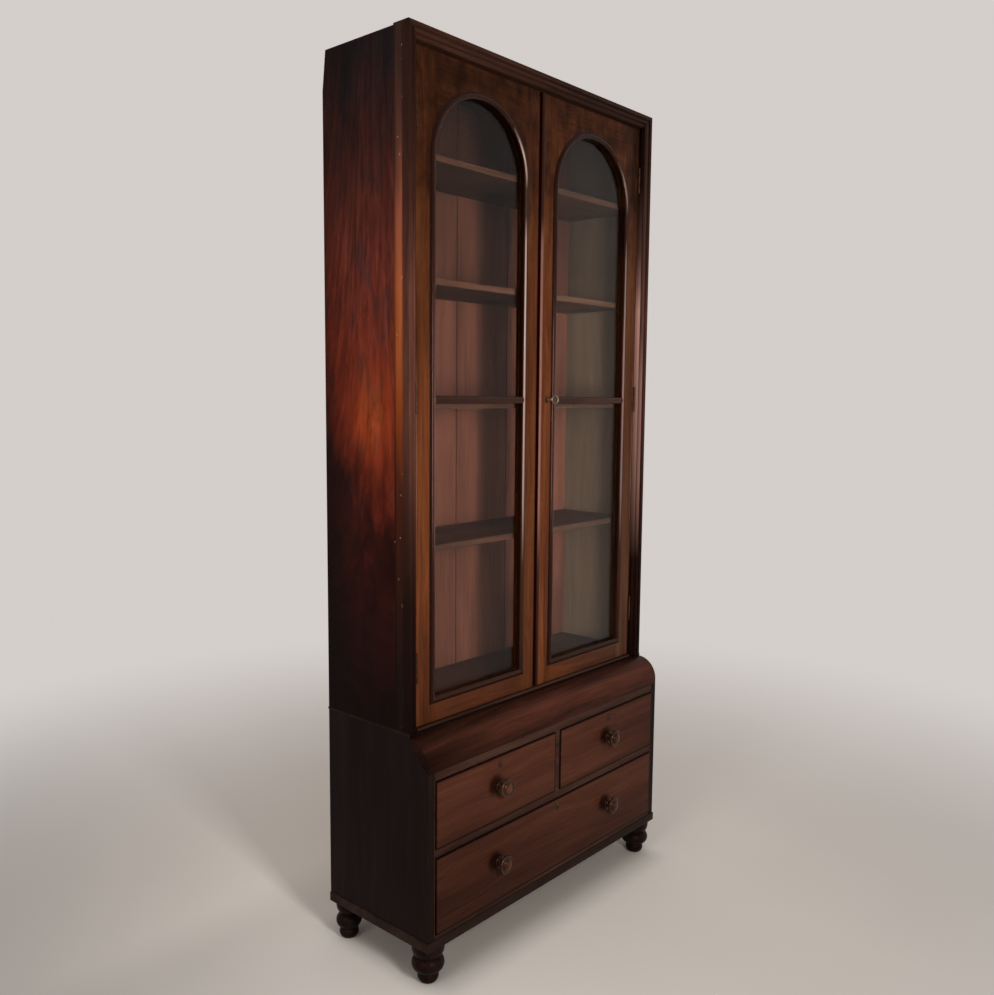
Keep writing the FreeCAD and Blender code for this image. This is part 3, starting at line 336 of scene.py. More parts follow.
def clear_glass():
    """Old window glass: clear, faintly wavy, and open to the light of the lamps."""
    made, graph = material("old_glass")
    place = graph.add("TexCoord").outputs["Object"]
    wave = graph.stretched(place, (5.0, 5.0, 2.0), detail=1.0)
    bump = graph.add("Bump", {"Strength": 0.05, "Distance": 0.001, "Height": wave}).outputs[0]
    dust = graph.between(graph.noise(place, scale=30.0, detail=4.0), 0.62, 0.85)
    shader = graph.add("BsdfPrincipled", {
        "Base Color": (0.97, 0.98, 0.97, 1), "Roughness": graph.product(dust, 0.04), "IOR": 1.17,
        "Transmission Weight": 1.0, "Specular IOR Level": 0.15, "Normal": bump})
    through = graph.add("BsdfTransparent", {"Color": (0.93, 0.94, 0.93, 1)})
    lamp = graph.add("LightPath").outputs["Is Shadow Ray"]
    both = graph.add("MixShader", {0: lamp, 1: shader.outputs[0], 2: through.outputs[0]})
    graph.add("OutputMaterial", {"Surface": both.outputs[0]})
    return made


# Where the grain turns

def door_rails(graph, place):
    """Rails lie between the stiles, above and below the glass."""
    x = graph.split(place)[0]
    return graph.inside(graph.math("ABSOLUTE", x), SIGHT_INNER, SIGHT_OUTER)


def frame_rail(graph, place):
    x, y, z = graph.split(place)
    high = graph.above(z, FRAME_OPENING_TOP - SKIN)
    return graph.product(high, graph.below(graph.math("ABSOLUTE", x), FRAME_OPENING_SIDE))


# How the colour changes from place to place, each as tint(graph, place, colour, tone)

# Where the painted pool of light on the case sides lies
LIGHT_POOL_HEIGHT = 1.405
LIGHT_POOL_Y = 0.035
RIGHT_LIGHT_POOL = 0.35  # the strength of the painted pool of light on the right-hand side
INNER_FACE = (0.13, 0.086, 0.056)
BARE_BACK = (0.30, 0.19, 0.11)
# painted shade in the gap where the doors meet
MEETING_GAP_SHADE = (0.02, 0.0015, 0.001)
# painted shade in the quirk at a bead's outer foot
BEAD_FOOT_SHADE = (0.012, 0.003, 0.0015)
CHIPPED = (0.5, 0.4, 0.33)
# painted highlight along a door's hinge arris
DOOR_ARRIS_HIGHLIGHT = (0.42, 0.27, 0.23)
# painted highlight along a bead's crest
BEAD_CREST_HIGHLIGHT = (0.3, 0.2, 0.18)
# painted highlight down the meeting bead
MEETING_BEAD_HIGHLIGHT = (0.3, 0.13, 0.1)
# painted highlight lines along bead crests
BEAD_LINE_HIGHLIGHT = (0.5, 0.35, 0.3)
# painted highlight lines along the right-hand moulding
MOULDING_HIGHLIGHT = (0.5, 0.27, 0.22)


def side_flame_and_light(graph, place, tone):
    """A case side's outer face: flame figure and painted light in its middle, dark above and
    below.
    """
    x, y, z = graph.split(place)
    drift = graph.stretched(place, (13.0, 13.0, 4.0), detail=5.0, roughness=0.6)
    lag = graph.product(graph.between(y, 0.08, 0.2), 0.17)
    height = graph.swing(drift, 0.42, graph.less(z, lag))
    # Lighter in the middle by height: flame figure and painted light together
    flame = graph.along(height, (0.67, (0.005, 0.0012, 0.001)), (1.14, (0.03, 0.0048, 0.003)),
                        (1.36, (0.152, 0.0215, 0.0088)), (1.75, (0.118, 0.0235, 0.0145)),
                        (2.1, (0.028, 0.009, 0.007)), (2.28, (0.008, 0.005, 0.0055)))
    bend = graph.product(graph.less(z, 1.45), y, 1.6)
    curved = graph.join(graph.math("ADD", y, bend), x, z)
    cloud = graph.stretched(curved, (26.0, 26.0, 7.0), detail=6.0, roughness=0.7, distortion=0.9)
    streak = graph.stretched(curved, (48.0, 48.0, 5.0), detail=4.0, roughness=0.6, distortion=0.8)
    level = graph.scaled(tone, 0.5, graph.scaled(cloud, 2.1, -0.35))
    flame = graph.darken(flame, graph.product(level, graph.scaled(streak, 1.9, 0.08)))
    rearward = graph.along(y, (0.0, 1.0), (0.08, 0.95), (0.13, 0.78), (0.2, 0.38))
    flame = graph.darken(flame, rearward)
    # A painted pool of light, lighter and redder in the middle of the side
    reach = graph.reach(graph.less(y, LIGHT_POOL_Y), graph.product(graph.less(z, LIGHT_POOL_HEIGHT), 0.6))
    light_pool = graph.between(graph.swing(cloud, 0.13, reach), 0.1, 0.02)
    share = graph.blend(graph.above(x, 0.0), 1.0, RIGHT_LIGHT_POOL)
    flame = graph.recolour(flame, (1.9, 2.0, 1.25), light_pool, share)
    corner = graph.product(graph.between(z, 1.8, 2.05), graph.between(y, -0.02, 0.14))
    flame = graph.darken(flame, graph.scaled(corner, -0.45, 1.15))
    faded = graph.between(graph.stretched(place, (19.0, 19.0, 9.0), detail=4.0), 0.5, 0.66)
    return graph.recolour(flame, (0.62, 0.95, 1.35), faded, 0.75)


def side_tint(graph, place, colour, tone):
    """Flame and painted light on a case side's outer face, and a grey-brown inner face, dark at
    the top.
    """
    x, y, z = graph.split(place)
    rear = graph.along(z, (1.7, 1.0), (1.86, 0.6), (2.02, 0.5), (2.06, 0.36))
    front = graph.along(z, (1.2, 0.75), (1.32, 1.0), (1.55, 1.0), (1.7, 0.75), (2.02, 0.7),
                        (2.06, 0.5))
    plain = graph.darken((*INNER_FACE, 1), graph.math("ADD", tone, 0.5))
    plain = graph.darken(plain, graph.blend(graph.between(y, 0.05, -0.02), rear, front))
    inner = graph.below(graph.math("ABSOLUTE", x), CASE_INNER + SKIN)
    return graph.mix(inner, side_flame_and_light(graph, place, tone), plain)


def door_level(graph, x, z):
    """How light a door is by height, and from left to right in its upper, lower and foot parts."""
    level = graph.along(z, (0.64, 0.66), (0.72, 0.72), (0.84, 0.86), (1.0, 0.98), (1.2, 0.92),
                        (1.4, 0.9), (1.6, 0.78), (1.8, 0.78), (1.9, 0.6), (2.0, 0.4), (2.1, 0.36),
                        (2.26, 0.28))
    upper = graph.along(x, (-0.46, 0.56), (-0.02, 0.64), (0.02, 0.84), (0.38, 0.84), (0.46, 0.72))
    lower = graph.along(x, (-0.46, 1.0), (-0.02, 0.54), (0.02, 0.78), (0.38, 0.6), (0.46, 0.45))
    foot = graph.along(x, (-0.46, 0.78), (-0.02, 0.6), (0.02, 1.0), (0.38, 0.72), (0.46, 0.5))
    lower = graph.blend(graph.between(z, 0.98, 0.86), lower, foot)
    return graph.product(level, graph.blend(graph.between(z, 1.35, 1.65), lower, upper))


def door_tint(graph, place, colour, tone):
    """Faded on the right, dark within the thickness and behind, and painted shade at the meeting
    edges.
    """
    x, y, z = graph.split(place)
    away = graph.math("ABSOLUTE", x)
    left = graph.below(x, 0.0)
    rails = door_rails(graph, place)
    colour = graph.darken(colour, door_level(graph, x, z))
    rail = graph.blend(graph.above(z, DOOR_MIDDLE), graph.blend(left, 1.15, 1.5),
                       graph.blend(left, 1.25, 0.86))
    colour = graph.darken(colour, graph.blend(rails, 1.0, rail))
    low_right = graph.product(graph.between(z, 1.7, 1.1), graph.between(x, 0.04, 0.4))
    far_right = graph.product(graph.between(x, 0.34, 0.46), 0.6)
    faded = graph.math("MAXIMUM", low_right, far_right)
    colour = graph.recolour(colour, (0.9, 1.2, 1.8), faded)
    colour = graph.recolour(colour, (0.72, 0.76, 0.95), left, rails, graph.between(z, 0.72, 0.7))
    mottle = graph.stretched(place, (24.0, 24.0, 13.0), detail=5.0, roughness=0.6)
    crown = graph.between(z, 1.75, 2.05)
    colour = graph.darken(colour, graph.blend(crown, 1.0, graph.scaled(mottle, 3.4, -0.7)))
    colour = graph.shade(colour, graph.inside(y, DOOR_FACE + SKIN, DOOR_BACK - SKIN), 0.86)
    colour = graph.shade(colour, graph.above(y, DOOR_BACK - SKIN), 0.45)
    # A painted highlight along the hinge arris, low on the door
    arris = graph.between(away, HINGE_EDGE - 0.0028, HINGE_EDGE - 0.0018)
    colour = graph.paint(colour, DOOR_ARRIS_HIGHLIGHT, arris, graph.band(z, 1.0, 1.2, 1.46, 1.58), 0.5)
    # Painted shade in the meeting gap, wider over the left door's rounded edge
    width = graph.blend(left, 0.0003, MEETING_ROUND + 0.004)
    share = graph.math("DIVIDE", graph.less(away, MEETING_EDGE), width)
    return graph.paint(colour, MEETING_GAP_SHADE, graph.between(share, 1.0, 0.3), 0.8)


def past_sight(graph, x, z):
    """How far a point of a door lies outside the edge of the visible glass."""
    away = graph.math("ABSOLUTE", x)
    sides = graph.math("MAXIMUM", graph.less(SIGHT_INNER, away), graph.less(away, SIGHT_OUTER))
    straight = graph.math("MAXIMUM", sides, graph.less(SIGHT_BOTTOM, z))
    radius = graph.reach(graph.less(away, ARCH_MIDDLE), graph.less(z, SPRING))
    return graph.blend(graph.above(z, SPRING), straight, graph.less(radius, ARCH_RADIUS))


def bead_tint(graph, place, colour, tone):
    """Painted shade along the outer foot of a bead, and painted highlights along crests and the
    meeting bead.
    """
    x, y, z = graph.split(place)
    out = past_sight(graph, x, z)
    colour = graph.darken(colour, graph.along(z, (0.64, 0.6), (1.3, 1.0), (1.8, 0.8), (2.2, 0.5)))
    # Painted shade in the quirk along the outer foot
    foot = graph.product(graph.between(out, 0.0075, 0.0105), graph.below(out, 0.0185))
    colour = graph.paint(colour, BEAD_FOOT_SHADE, foot, 0.85)
    # A painted highlight along the crest, between 0.95 and 1.72 m high
    crest = graph.band(out, 0.0015, 0.003, 0.006, 0.0085)
    colour = graph.paint(colour, BEAD_CREST_HIGHLIGHT, crest, graph.band(z, 0.95, 1.2, 1.5, 1.72), 0.3)
    # A painted highlight down the meeting bead
    meeting = graph.above(out, 0.04)
    highlight_height = graph.band(z, 0.95, 1.2, 1.84, 1.95)
    colour = graph.paint(colour, MEETING_BEAD_HIGHLIGHT, meeting, highlight_height, 0.75)
    # Painted highlight lines along the crests of the right-hand beads
    right = graph.math("MAXIMUM", graph.inside(x, -0.12, -0.03),
                       graph.product(graph.above(x, 0.35), 0.5))
    line = graph.band(out, 0.001, 0.002, 0.005, 0.0065)
    shine = graph.along(z, (1.0, 0.0), (1.1, 0.25), (1.2, 0.5), (1.5, 0.75), (1.72, 1.0),
                        (1.86, 0.8), (1.93, 0.06), (2.0, 0.06), (2.04, 0.7), (2.09, 0.9),
                        (2.13, 0.2), (2.16, 0.0))
    return graph.paint(colour, BEAD_LINE_HIGHLIGHT, right, line, shine)


def frame_tint(graph, place, colour, tone):
    """Darker above and below, and a lighter, orange lipping along the outer edges, with painted
    light in its middle.
    """
    x, y, z = graph.split(place)
    level = graph.along(z, (0.64, 0.2), (1.2, 0.55), (1.64, 0.75), (2.25, 0.3))
    colour = graph.darken(colour, level)
    drift = graph.stretched(place, (30.0, 30.0, 5.0), detail=4.0)
    height = graph.swing(drift, 0.3, z)
    # The lipping by height: orange timber, brightest in the middle with painted light
    lipping = graph.along(height, (0.8, (0.009, 0.004, 0.003)), (1.21, (0.055, 0.013, 0.006)),
                          (1.46, (0.28, 0.056, 0.012)), (1.68, (0.42, 0.11, 0.034)),
                          (1.86, (0.33, 0.09, 0.048)), (2.02, (0.11, 0.04, 0.025)),
                          (2.25, (0.04, 0.018, 0.013)))
    lipping = graph.darken(lipping, graph.scaled(tone, 1.2, 0.4))
    # Painted shade towards the lipping's rounded edges
    rounding_shade = graph.along(y, (-0.081, 0.75), (-0.075, 1.0), (-0.061, 0.95), (-0.054, 0.35))
    lipping = graph.darken(lipping, rounding_shade)
    chip = graph.between(graph.noise(place, scale=70.0, detail=3.0), 0.7, 0.74)
    lipping = graph.paint(lipping, CHIPPED, chip, 0.5)
    outer = graph.above(graph.math("ABSOLUTE", x), HALF_WIDTH - SKIN)
    return graph.mix(outer, colour, lipping)


def moulding_tint(graph, place, colour, tone):
    """Painted shade in the inner steps, most of all above, and two painted highlights on the
    right-hand moulding.
    """
    x, y, z = graph.split(place)
    level = graph.along(z, (0.64, 0.06), (0.95, 0.1), (1.17, 0.36), (1.45, 0.8), (1.7, 1.0),
                        (1.9, 0.42), (2.28, 0.17))
    colour = graph.darken(colour, level)
    # Painted shade in the inner steps beside the gap to the door
    inner = graph.between(graph.math("ABSOLUTE", x), 0.486, 0.478)
    painted_shade = graph.along(z, (0.9, 0.0), (1.3, 0.45), (1.6, 0.7), (2.2, 0.8))
    colour = graph.shade(colour, inner, painted_shade)
    # Two painted highlight lines along the right-hand moulding
    first = graph.along(z, (0.95, 0.0), (1.2, 0.4), (1.5, 0.45), (1.66, 0.12), (2.2, 0.06))
    second = graph.along(z, (0.95, 0.0), (1.3, 0.4), (1.55, 0.6), (1.72, 0.8), (1.8, 0.35),
                         (1.9, 0.1), (2.1, 0.0))
    highlight_lines = graph.math("ADD", graph.product(graph.inside(x, 0.478, 0.484), first),
                       graph.product(graph.inside(x, 0.4665, 0.4755), second))
    return graph.paint(colour, MOULDING_HIGHLIGHT, highlight_lines)


def frieze_tint(graph, place, colour, tone):
    """Lightest along its rounded shoulder with painted light, and darker towards its left end."""
    x, y, z = graph.split(place)
    across = graph.along(x, (-0.5, 0.24), (-0.4, 0.42), (-0.25, 0.78), (0.05, 1.0), (0.5, 0.92))
    # Painted light: lightest across the rounded shoulder
    up = graph.along(z, (0.555, 0.42), (0.575, 0.5), (0.592, 0.76), (0.61, 1.0), (0.622, 0.85),
                     (0.632, 0.6))
    return graph.darken(colour, graph.product(across, up))


def from_knob(graph, x, z, shift_x=0.0, shift_z=0.0):
    """The distance from the nearest knob in its row, or from a point beside it."""
    height = graph.blend(graph.above(z, ROW_SPLIT), LONG_KNOB_Z + shift_z, SHORT_KNOB_Z + shift_z)
    side = graph.scaled(graph.math("SIGN", x), KNOB_X, shift_x)
    return graph.reach(graph.less(x, side), graph.less(z, height))


def drawer_tint(graph, place, colour, tone):
    """Darker towards the left and below, with painted shadows beside the knobs and painted shade
    along the edges.
    """
    x, y, z = graph.split(place)
    long = graph.product(graph.along(x, (-0.5, 0.62), (0.0, 0.86), (0.5, 1.0)),
                         graph.along(z, (0.15, 0.68), (0.22, 0.76), (0.27, 0.97), (0.33, 1.0)))
    short = graph.product(graph.along(x, (-0.5, 0.9), (0.2, 1.0), (0.5, 0.72)),
                          graph.along(z, (0.355, 0.68), (0.39, 0.92), (0.42, 1.0)))
    upper = graph.above(z, ROW_SPLIT)
    colour = graph.darken(colour, graph.blend(upper, long, short))
    # A painted shadow of each knob, up and to the left of it
    beside_knob = graph.between(from_knob(graph, x, z, -0.016, 0.007), 0.036, 0.016)
    # Painted shade along the edges of the fronts, in the gaps around them
    across = graph.blend(upper, graph.inset(x, -DRAWER_END, DRAWER_END),
                         graph.inset(graph.math("ABSOLUTE", x), DRAWER_GAP, DRAWER_END))
    up = graph.blend(upper, graph.inset(z, LONG_BOTTOM, LONG_TOP),
                     graph.inset(z, SHORT_BOTTOM, SHORT_TOP))
    edge = graph.between(graph.math("MINIMUM", across, up), 0.0045, 0.002)
    painted_shade = graph.math("MAXIMUM", graph.product(beside_knob, 0.75), graph.product(edge, 0.85))
    return graph.shade(colour, painted_shade)


def knob_tint(graph, place, colour, tone):
    """Painted shade at the neck and in the hollow ring, and lighter on the button."""
    x, y, z = graph.split(place)
    ring = graph.along(from_knob(graph, x, z), (0.0, 1.0), (0.009, 0.75), (0.0135, 0.3),
                       (0.0185, 0.3), (0.0215, 0.62), (0.026, 0.4))
    neck = graph.between(y, -0.192, -0.187)
    return graph.darken(colour, graph.blend(neck, ring, 0.28))


def rail_tint(graph, place, colour, tone):
    x = graph.split(place)[0]
    return graph.darken(colour, graph.along(x, (-0.5, 0.75), (-0.3, 0.9), (0.0, 1.0)))


def shelf_tint(graph, place, colour, tone):
    """Darker low and high up, painted shade under the left half, and paler front edges on the
    right.
    """
    x, y, z = graph.split(place)
    level = graph.along(z, (1.0, 0.7), (1.2, 0.72), (1.44, 0.85), (1.74, 1.0), (1.9, 0.9),
                        (2.04, 0.72))
    colour = graph.darken(colour, level)
    facing = graph.split(graph.add("TexCoord").outputs["Normal"])[2]
    edge = graph.product(graph.inside(facing, -0.3, 0.3), graph.between(x, 0.02, 0.1))
    colour = graph.recolour(colour, (1.25, 1.45, 1.5), edge)
    # Painted shade on the undersides of the left half
    underside = graph.between(facing, -0.3, -0.8)
    return graph.shade(colour, underside, graph.between(x, 0.16, 0.02), 0.55)


def board_tint(graph, place, colour, tone):
    """Each back board has its own tone, with a dark line at each joint and bare timber behind."""
    x, y, z = graph.split(place)
    across = graph.math("DIVIDE", graph.math("ADD", x, CASE_INNER), BOARD_WIDTH)
    seed = graph.math("ADD", graph.math("FLOOR", across), 2.7)
    own = graph.add("TexWhiteNoise", {"W": seed}, noise_dimensions="1D").outputs["Value"]
    colour = graph.darken(colour, graph.scaled(own, 0.4, 0.7))
    level = graph.along(z, (1.4, 1.0), (1.75, 0.85), (2.0, 0.55), (2.06, 0.36), (2.2, 0.28))
    colour = graph.darken(colour, level)
    colour = graph.darken(colour, graph.along(x, (-0.12, 0.7), (-0.05, 0.78), (-0.01, 1.0)))
    colour = graph.shade(colour, graph.between(z, 1.7, 2.0), graph.between(x, 0.25, 0.4), 0.35)
    # A painted shadow low down: the meeting stiles' shadow reaching further left
    colour = graph.shade(colour, graph.between(z, 1.0, 0.75), graph.between(x, 0.12, 0.2), 0.4)
    from_joint = graph.product(graph.inset(graph.math("FRACT", across), 0.0, 1.0), BOARD_WIDTH)
    colour = graph.shade(colour, graph.between(from_joint, 0.003, 0.001), 0.8)
    bare = graph.above(graph.split(graph.add("TexCoord").outputs["Normal"])[1], 0.3)
    return graph.mix(bare, colour, graph.darken((*BARE_BACK, 1), graph.math("ADD", tone, 0.4)))


# Each timber: its CAD nodes, its dark, middle and light tones, and what sets it apart

PLAIN_TONES = ((0.22, 0.13, 0.07), (0.36, 0.23, 0.13), (0.48, 0.33, 0.2))

TIMBERS = {
    "case_side_wood": (
        ("case_side_left", "case_side_right"),
        ((0.012, 0.006, 0.005), (0.06, 0.017, 0.011), (0.16, 0.04, 0.016)),
        {"offset": (0.3, 0.1, 0.2), "figure": 1.2, "rough": 0.34, "tint": side_tint}),
    "face_frame_wood": (
        ("face_frame",),
        ((0.03, 0.011, 0.007), (0.075, 0.027, 0.015), (0.14, 0.048, 0.024)),
        {"offset": (0.7, 0.2, 0.5), "cross": frame_rail, "tint": frame_tint}),
    "moulding_wood": (
        ("left_frame_moulding", "right_frame_moulding"),
        ((0.04, 0.015, 0.01), (0.10, 0.036, 0.024), (0.16, 0.06, 0.038)),
        {"offset": (1.1, 0.4, 0.8), "tint": moulding_tint}),
    "cornice_wood": (
        ("cornice_moulding",),
        ((0.015, 0.007, 0.005), (0.036, 0.015, 0.010), (0.07, 0.028, 0.018)),
        {"offset": (0.5, 1.4, 0.8), "grain": "x"}),
    "door_wood": (
        ("left_door_frame", "right_door_frame"),
        ((0.075, 0.022, 0.009), (0.18, 0.052, 0.0175), (0.335, 0.112, 0.038)),
        {"offset": (0.2, 0.9, 0.3), "cross": door_rails, "tint": door_tint}),
    "bead_wood": (
        ("left_door_bead", "right_door_bead"),
        ((0.012, 0.005, 0.003), (0.035, 0.012, 0.007), (0.07, 0.026, 0.014)),
        {"offset": (0.4, 0.6, 1.3), "cross": door_rails, "tint": bead_tint, "rough": 0.18,
         "specular": 0.15, "coat": 0.06}),
    "frieze_wood": (
        ("frieze",),
        ((0.034, 0.011, 0.0065), (0.088, 0.028, 0.016), (0.165, 0.052, 0.03)),
        {"offset": (0.6, 0.3, 1.9), "grain": "x", "figure": 1.3, "tint": frieze_tint}),
    "drawer_wood": (
        ("left_drawer_front", "right_drawer_front", "long_drawer_front"),
        ((0.038, 0.0125, 0.0075), (0.072, 0.023, 0.013), (0.12, 0.042, 0.024)),
        {"offset": (1.6, 0.7, 2.3), "grain": "x", "figure": 0.9, "tint": drawer_tint}),
    "rail_wood": (
        ("drawer_rails", "drawer_divider", "opening_beads", "sill_rail"),
        ((0.018, 0.008, 0.006), (0.042, 0.019, 0.013), (0.08, 0.038, 0.027)),
        {"offset": (2.2, 0.5, 0.4), "grain": "x", "tint": rail_tint}),
    "ledge_wood": (
        ("waist_beads", "base_top"),
        ((0.006, 0.0035, 0.003), (0.012, 0.007, 0.006), (0.022, 0.013, 0.011)),
        {"offset": (1.2, 0.9, 0.7), "grain": "x", "wear": 0.1}),
    "chest_side_wood": (
        ("base_side_left", "base_side_right"),
        ((0.005, 0.0028, 0.0025), (0.009, 0.0052, 0.0048), (0.015, 0.009, 0.0078)),
        {"offset": (2.7, 0.2, 0.9), "rough": 0.4}),
    "plinth_wood": (
        ("plinth_moulding",),
        ((0.010, 0.0055, 0.0045), (0.022, 0.012, 0.009), (0.045, 0.026, 0.019)),
        {"offset": (0.2, 2.2, 0.1), "grain": "x"}),
    "foot_wood": (
        ("front_feet", "rear_feet"),
        ((0.004, 0.0025, 0.002), (0.009, 0.005, 0.004), (0.022, 0.012, 0.009)),
        {"offset": (3.3, 0.2, 0.6), "rough": 0.34}),
    "knob_wood": (
        ("left_drawer_knob", "right_drawer_knob", "long_drawer_knob"),
        ((0.03, 0.011, 0.005), (0.07, 0.026, 0.011), (0.14, 0.055, 0.024)),
        {"offset": (1.9, 0.4, 0.5), "grain": "y", "rough": 0.2, "specular": 0.16, "coat": 0.08,
         "tint": knob_tint, "wear": 0.2}),
    "shelf_wood": (
        ("shelf_1", "shelf_2", "shelf_3", "shelf_4", "case_top", "door_stop"),
        ((0.035, 0.014, 0.008), (0.072, 0.030, 0.017), (0.12, 0.052, 0.029)),
        {"offset": (1.2, 2.1, 0.7), "grain": "x", "rough": 0.5, "specular": 0.1,
         "tint": shelf_tint}),
    "case_floor_wood": (
        ("case_floor",),
        ((0.02, 0.009, 0.006), (0.042, 0.019, 0.012), (0.07, 0.033, 0.021)),
        {"offset": (0.4, 1.3, 0.9), "grain": "x", "rough": 0.5, "specular": 0.1}),
    "back_board_wood": (
        ("back_boards",),
        ((0.10, 0.035, 0.022), (0.18, 0.065, 0.040), (0.25, 0.095, 0.060)),
        {"offset": (0.9, 3.1, 0.2), "rough": 0.5, "specular": 0.15, "tint": board_tint}),
    "plain_wood": (
        ("base_floor", "base_back", "locating_dowels"),
        PLAIN_TONES,
        {"offset": (0.1, 0.4, 2.2), "grain": "x", "rough": 0.6, "specular": 0.2}),
    "plain_wood_deep": (
        ("drawer_runners", "left_drawer_box", "right_drawer_box", "long_drawer_box"),
        PLAIN_TONES,
        {"offset": (0.3, 1.4, 1.2), "grain": "y", "rough": 0.6, "specular": 0.2}),
}


def dress(made, *names):
    """Gives a material to CAD nodes."""
    for name in names:
        slots = nodes[name].data.materials
        slots.clear()
        slots.append(made)


for timber, (dressed, three_tones, options) in TIMBERS.items():
    dress(polished(timber, three_tones, **options), *dressed)

dull_brass = aged_brass("dull_brass", (0.02, 0.012, 0.008), (0.05, 0.03, 0.016),
                        (0.11, 0.07, 0.032), (0.3, 0.2, 0.09))
hinge_brass = aged_brass("hinge_brass", (0.02, 0.007, 0.004), (0.05, 0.019, 0.011),
                         (0.09, 0.04, 0.022), (0.12, 0.08, 0.04))
key_brass = aged_brass("key_brass", (0.12, 0.08, 0.05), (0.36, 0.28, 0.21),
                       (0.62, 0.53, 0.44), (0.8, 0.72, 0.62))
dress(dull_brass, *[name for name in nodes if "lock" in name or "bolt" in name])
dress(hinge_brass, *[name for name in nodes if "hinge" in name])
dress(key_brass, "door_key")
dress(clear_glass(), "left_door_glass", "right_door_glass")


# Screws and pins of the fittings

HEAD_RINGS = 4
HEAD_SEGMENTS = 28
FLAT_SHARE = 0.14  # the middle of a head that is flat, and half its slot, both in radii

LEAF_X = 0.465
LEAF_FACE = 0.0002
LEAF_MIDDLE_Y = -0.072
LEAF_STAGGER = 0.004
HINGE_HEIGHTS = (0.793, 1.4515, 2.11)
HINGE_SCREW_STEP = 0.026

DOOR_LOCK = (0.0265, 1.456)
DOOR_KEYHOLE = (0.0355, 1.45)
KEYHOLE_PLATE = 0.0012
KEYHOLE_PIN_STEP = 0.009
DRAWER_LOCK_DOWN = 0.022
DRAWER_KEYHOLE_DOWN = 0.0215

BOLT_X = -0.0355
BOLT_PLATE = 0.002
BOLT_HEIGHTS = (0.702, 2.211)


def screw_head(mesh, place, outward, radius=0.003, slot_turn=0.6, rise=0.00012):
    """A flush countersunk head with its slot, set into a surface that faces outward."""
    outward = Vector(outward)
    side = outward.orthogonal().normalized()
    up = outward.cross(side)
    rows = []
    for ring in range(HEAD_RINGS + 1):
        reach = radius * (1 - ring / HEAD_RINGS * (1 - FLAT_SHARE))
        row = []
        for index in range(HEAD_SEGMENTS):
            angle = math.tau * index / HEAD_SEGMENTS
            u, v = reach * math.cos(angle), reach * math.sin(angle)
            across = u * math.sin(slot_turn) + v * math.cos(slot_turn)
            in_slot = abs(across) < radius * FLAT_SHARE
            lift = 0.0 if ring == 0 else rise * (0.25 if in_slot else 1.0)
            row.append(mesh.verts.new(Vector(place) + side * u + up * v + outward * lift))
        rows.append(row)
    for low, high in zip(rows, rows[1:]):
        for index in range(HEAD_SEGMENTS):
            after = (index + 1) % HEAD_SEGMENTS
            mesh.faces.new((low[index], low[after], high[after], high[index]))
    mesh.faces.new(rows[-1])


def hinge_screws(mesh, side, on_door):
    """Three screws in each leaf of the three hinges on one side."""
    face = LEAF_X - LEAF_FACE if on_door else LEAF_X + LEAF_FACE
    toward = side if on_door else -side
    for hinge, height in enumerate(HINGE_HEIGHTS):
        for step in (-1, 0, 1):
            y = LEAF_MIDDLE_Y + LEAF_STAGGER * (step % 2)
            place = (side * face, y, height + step * HINGE_SCREW_STEP)
            screw_head(mesh, place, (toward, 0, 0), slot_turn=0.7 * hinge + 1.9 * step)


def plate_screws(mesh, x, y, z, half_x, half_z, radius=0.0026):
    """Four screws near the corners of a plate that faces the back."""
    for index, (u, v) in enumerate(((-1, -1), (1, -1), (-1, 1), (1, 1))):
        place = (x + u * half_x, y, z + v * half_z)
        screw_head(mesh, place, (0, 1, 0), radius, slot_turn=1.3 * index)


def keyhole_pins(mesh, x, face, z):
    """The two pins of the keyhole plate on a front face."""
    for side in (-1, 1):
        place = (x, face - KEYHOLE_PLATE, z + side * KEYHOLE_PIN_STEP)
        screw_head(mesh, place, (0, -1, 0), radius=0.0008, rise=0.0003)


def frame_fittings(mesh):
    hinge_screws(mesh, -1, False)
    hinge_screws(mesh, 1, False)


def left_door_fittings(mesh):
    hinge_screws(mesh, -1, True)
    for middle in BOLT_HEIGHTS:
        plate_screws(mesh, BOLT_X, DOOR_BACK + BOLT_PLATE, middle, 0.0085, 0.016, radius=0.002)


def right_door_fittings(mesh):
    hinge_screws(mesh, 1, True)
    lock_x, lock_z = DOOR_LOCK
    plate_screws(mesh, lock_x, DOOR_BACK, lock_z, 0.019, 0.024)
    keyhole_x, keyhole_z = DOOR_KEYHOLE
    keyhole_pins(mesh, keyhole_x, DOOR_FACE, keyhole_z)


def drawer_fittings(x, top):
    """What builds the screws of a drawer's lock and the pins of its keyhole plate."""
    def build(mesh):
        plate_screws(mesh, x, DRAWER_BACK, top - DRAWER_LOCK_DOWN, 0.024, 0.017)
        keyhole_pins(mesh, x, DRAWER_FACE, top - DRAWER_KEYHOLE_DOWN)
    return build


def fitting(name, body, build):
    """A mesh of screw or pin heads that rides on a body."""
    mesh = bmesh.new()
    build(mesh)
    bmesh.ops.recalc_face_normals(mesh, faces=mesh.faces)
    data = bpy.data.meshes.new(name)
    mesh.to_mesh(data)
    mesh.free()
    data.materials.append(dull_brass)
    made = bpy.data.objects.new(name, data)
    scene.collection.objects.link(made)
    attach(made, body)


fitting("frame_hinge_screws", "carcass", frame_fittings)
fitting("left_door_screws", "left_door", left_door_fittings)
fitting("right_door_screws", "right_door", right_door_fittings)
fitting("left_drawer_screws", "left_drawer", drawer_fittings(-KNOB_X, SHORT_TOP))
fitting("right_drawer_screws", "right_drawer", drawer_fittings(KNOB_X, SHORT_TOP))
fitting("long_drawer_screws", "long_drawer", drawer_fittings(0.0, LONG_TOP))


# Floor, backdrop, lamps and camera

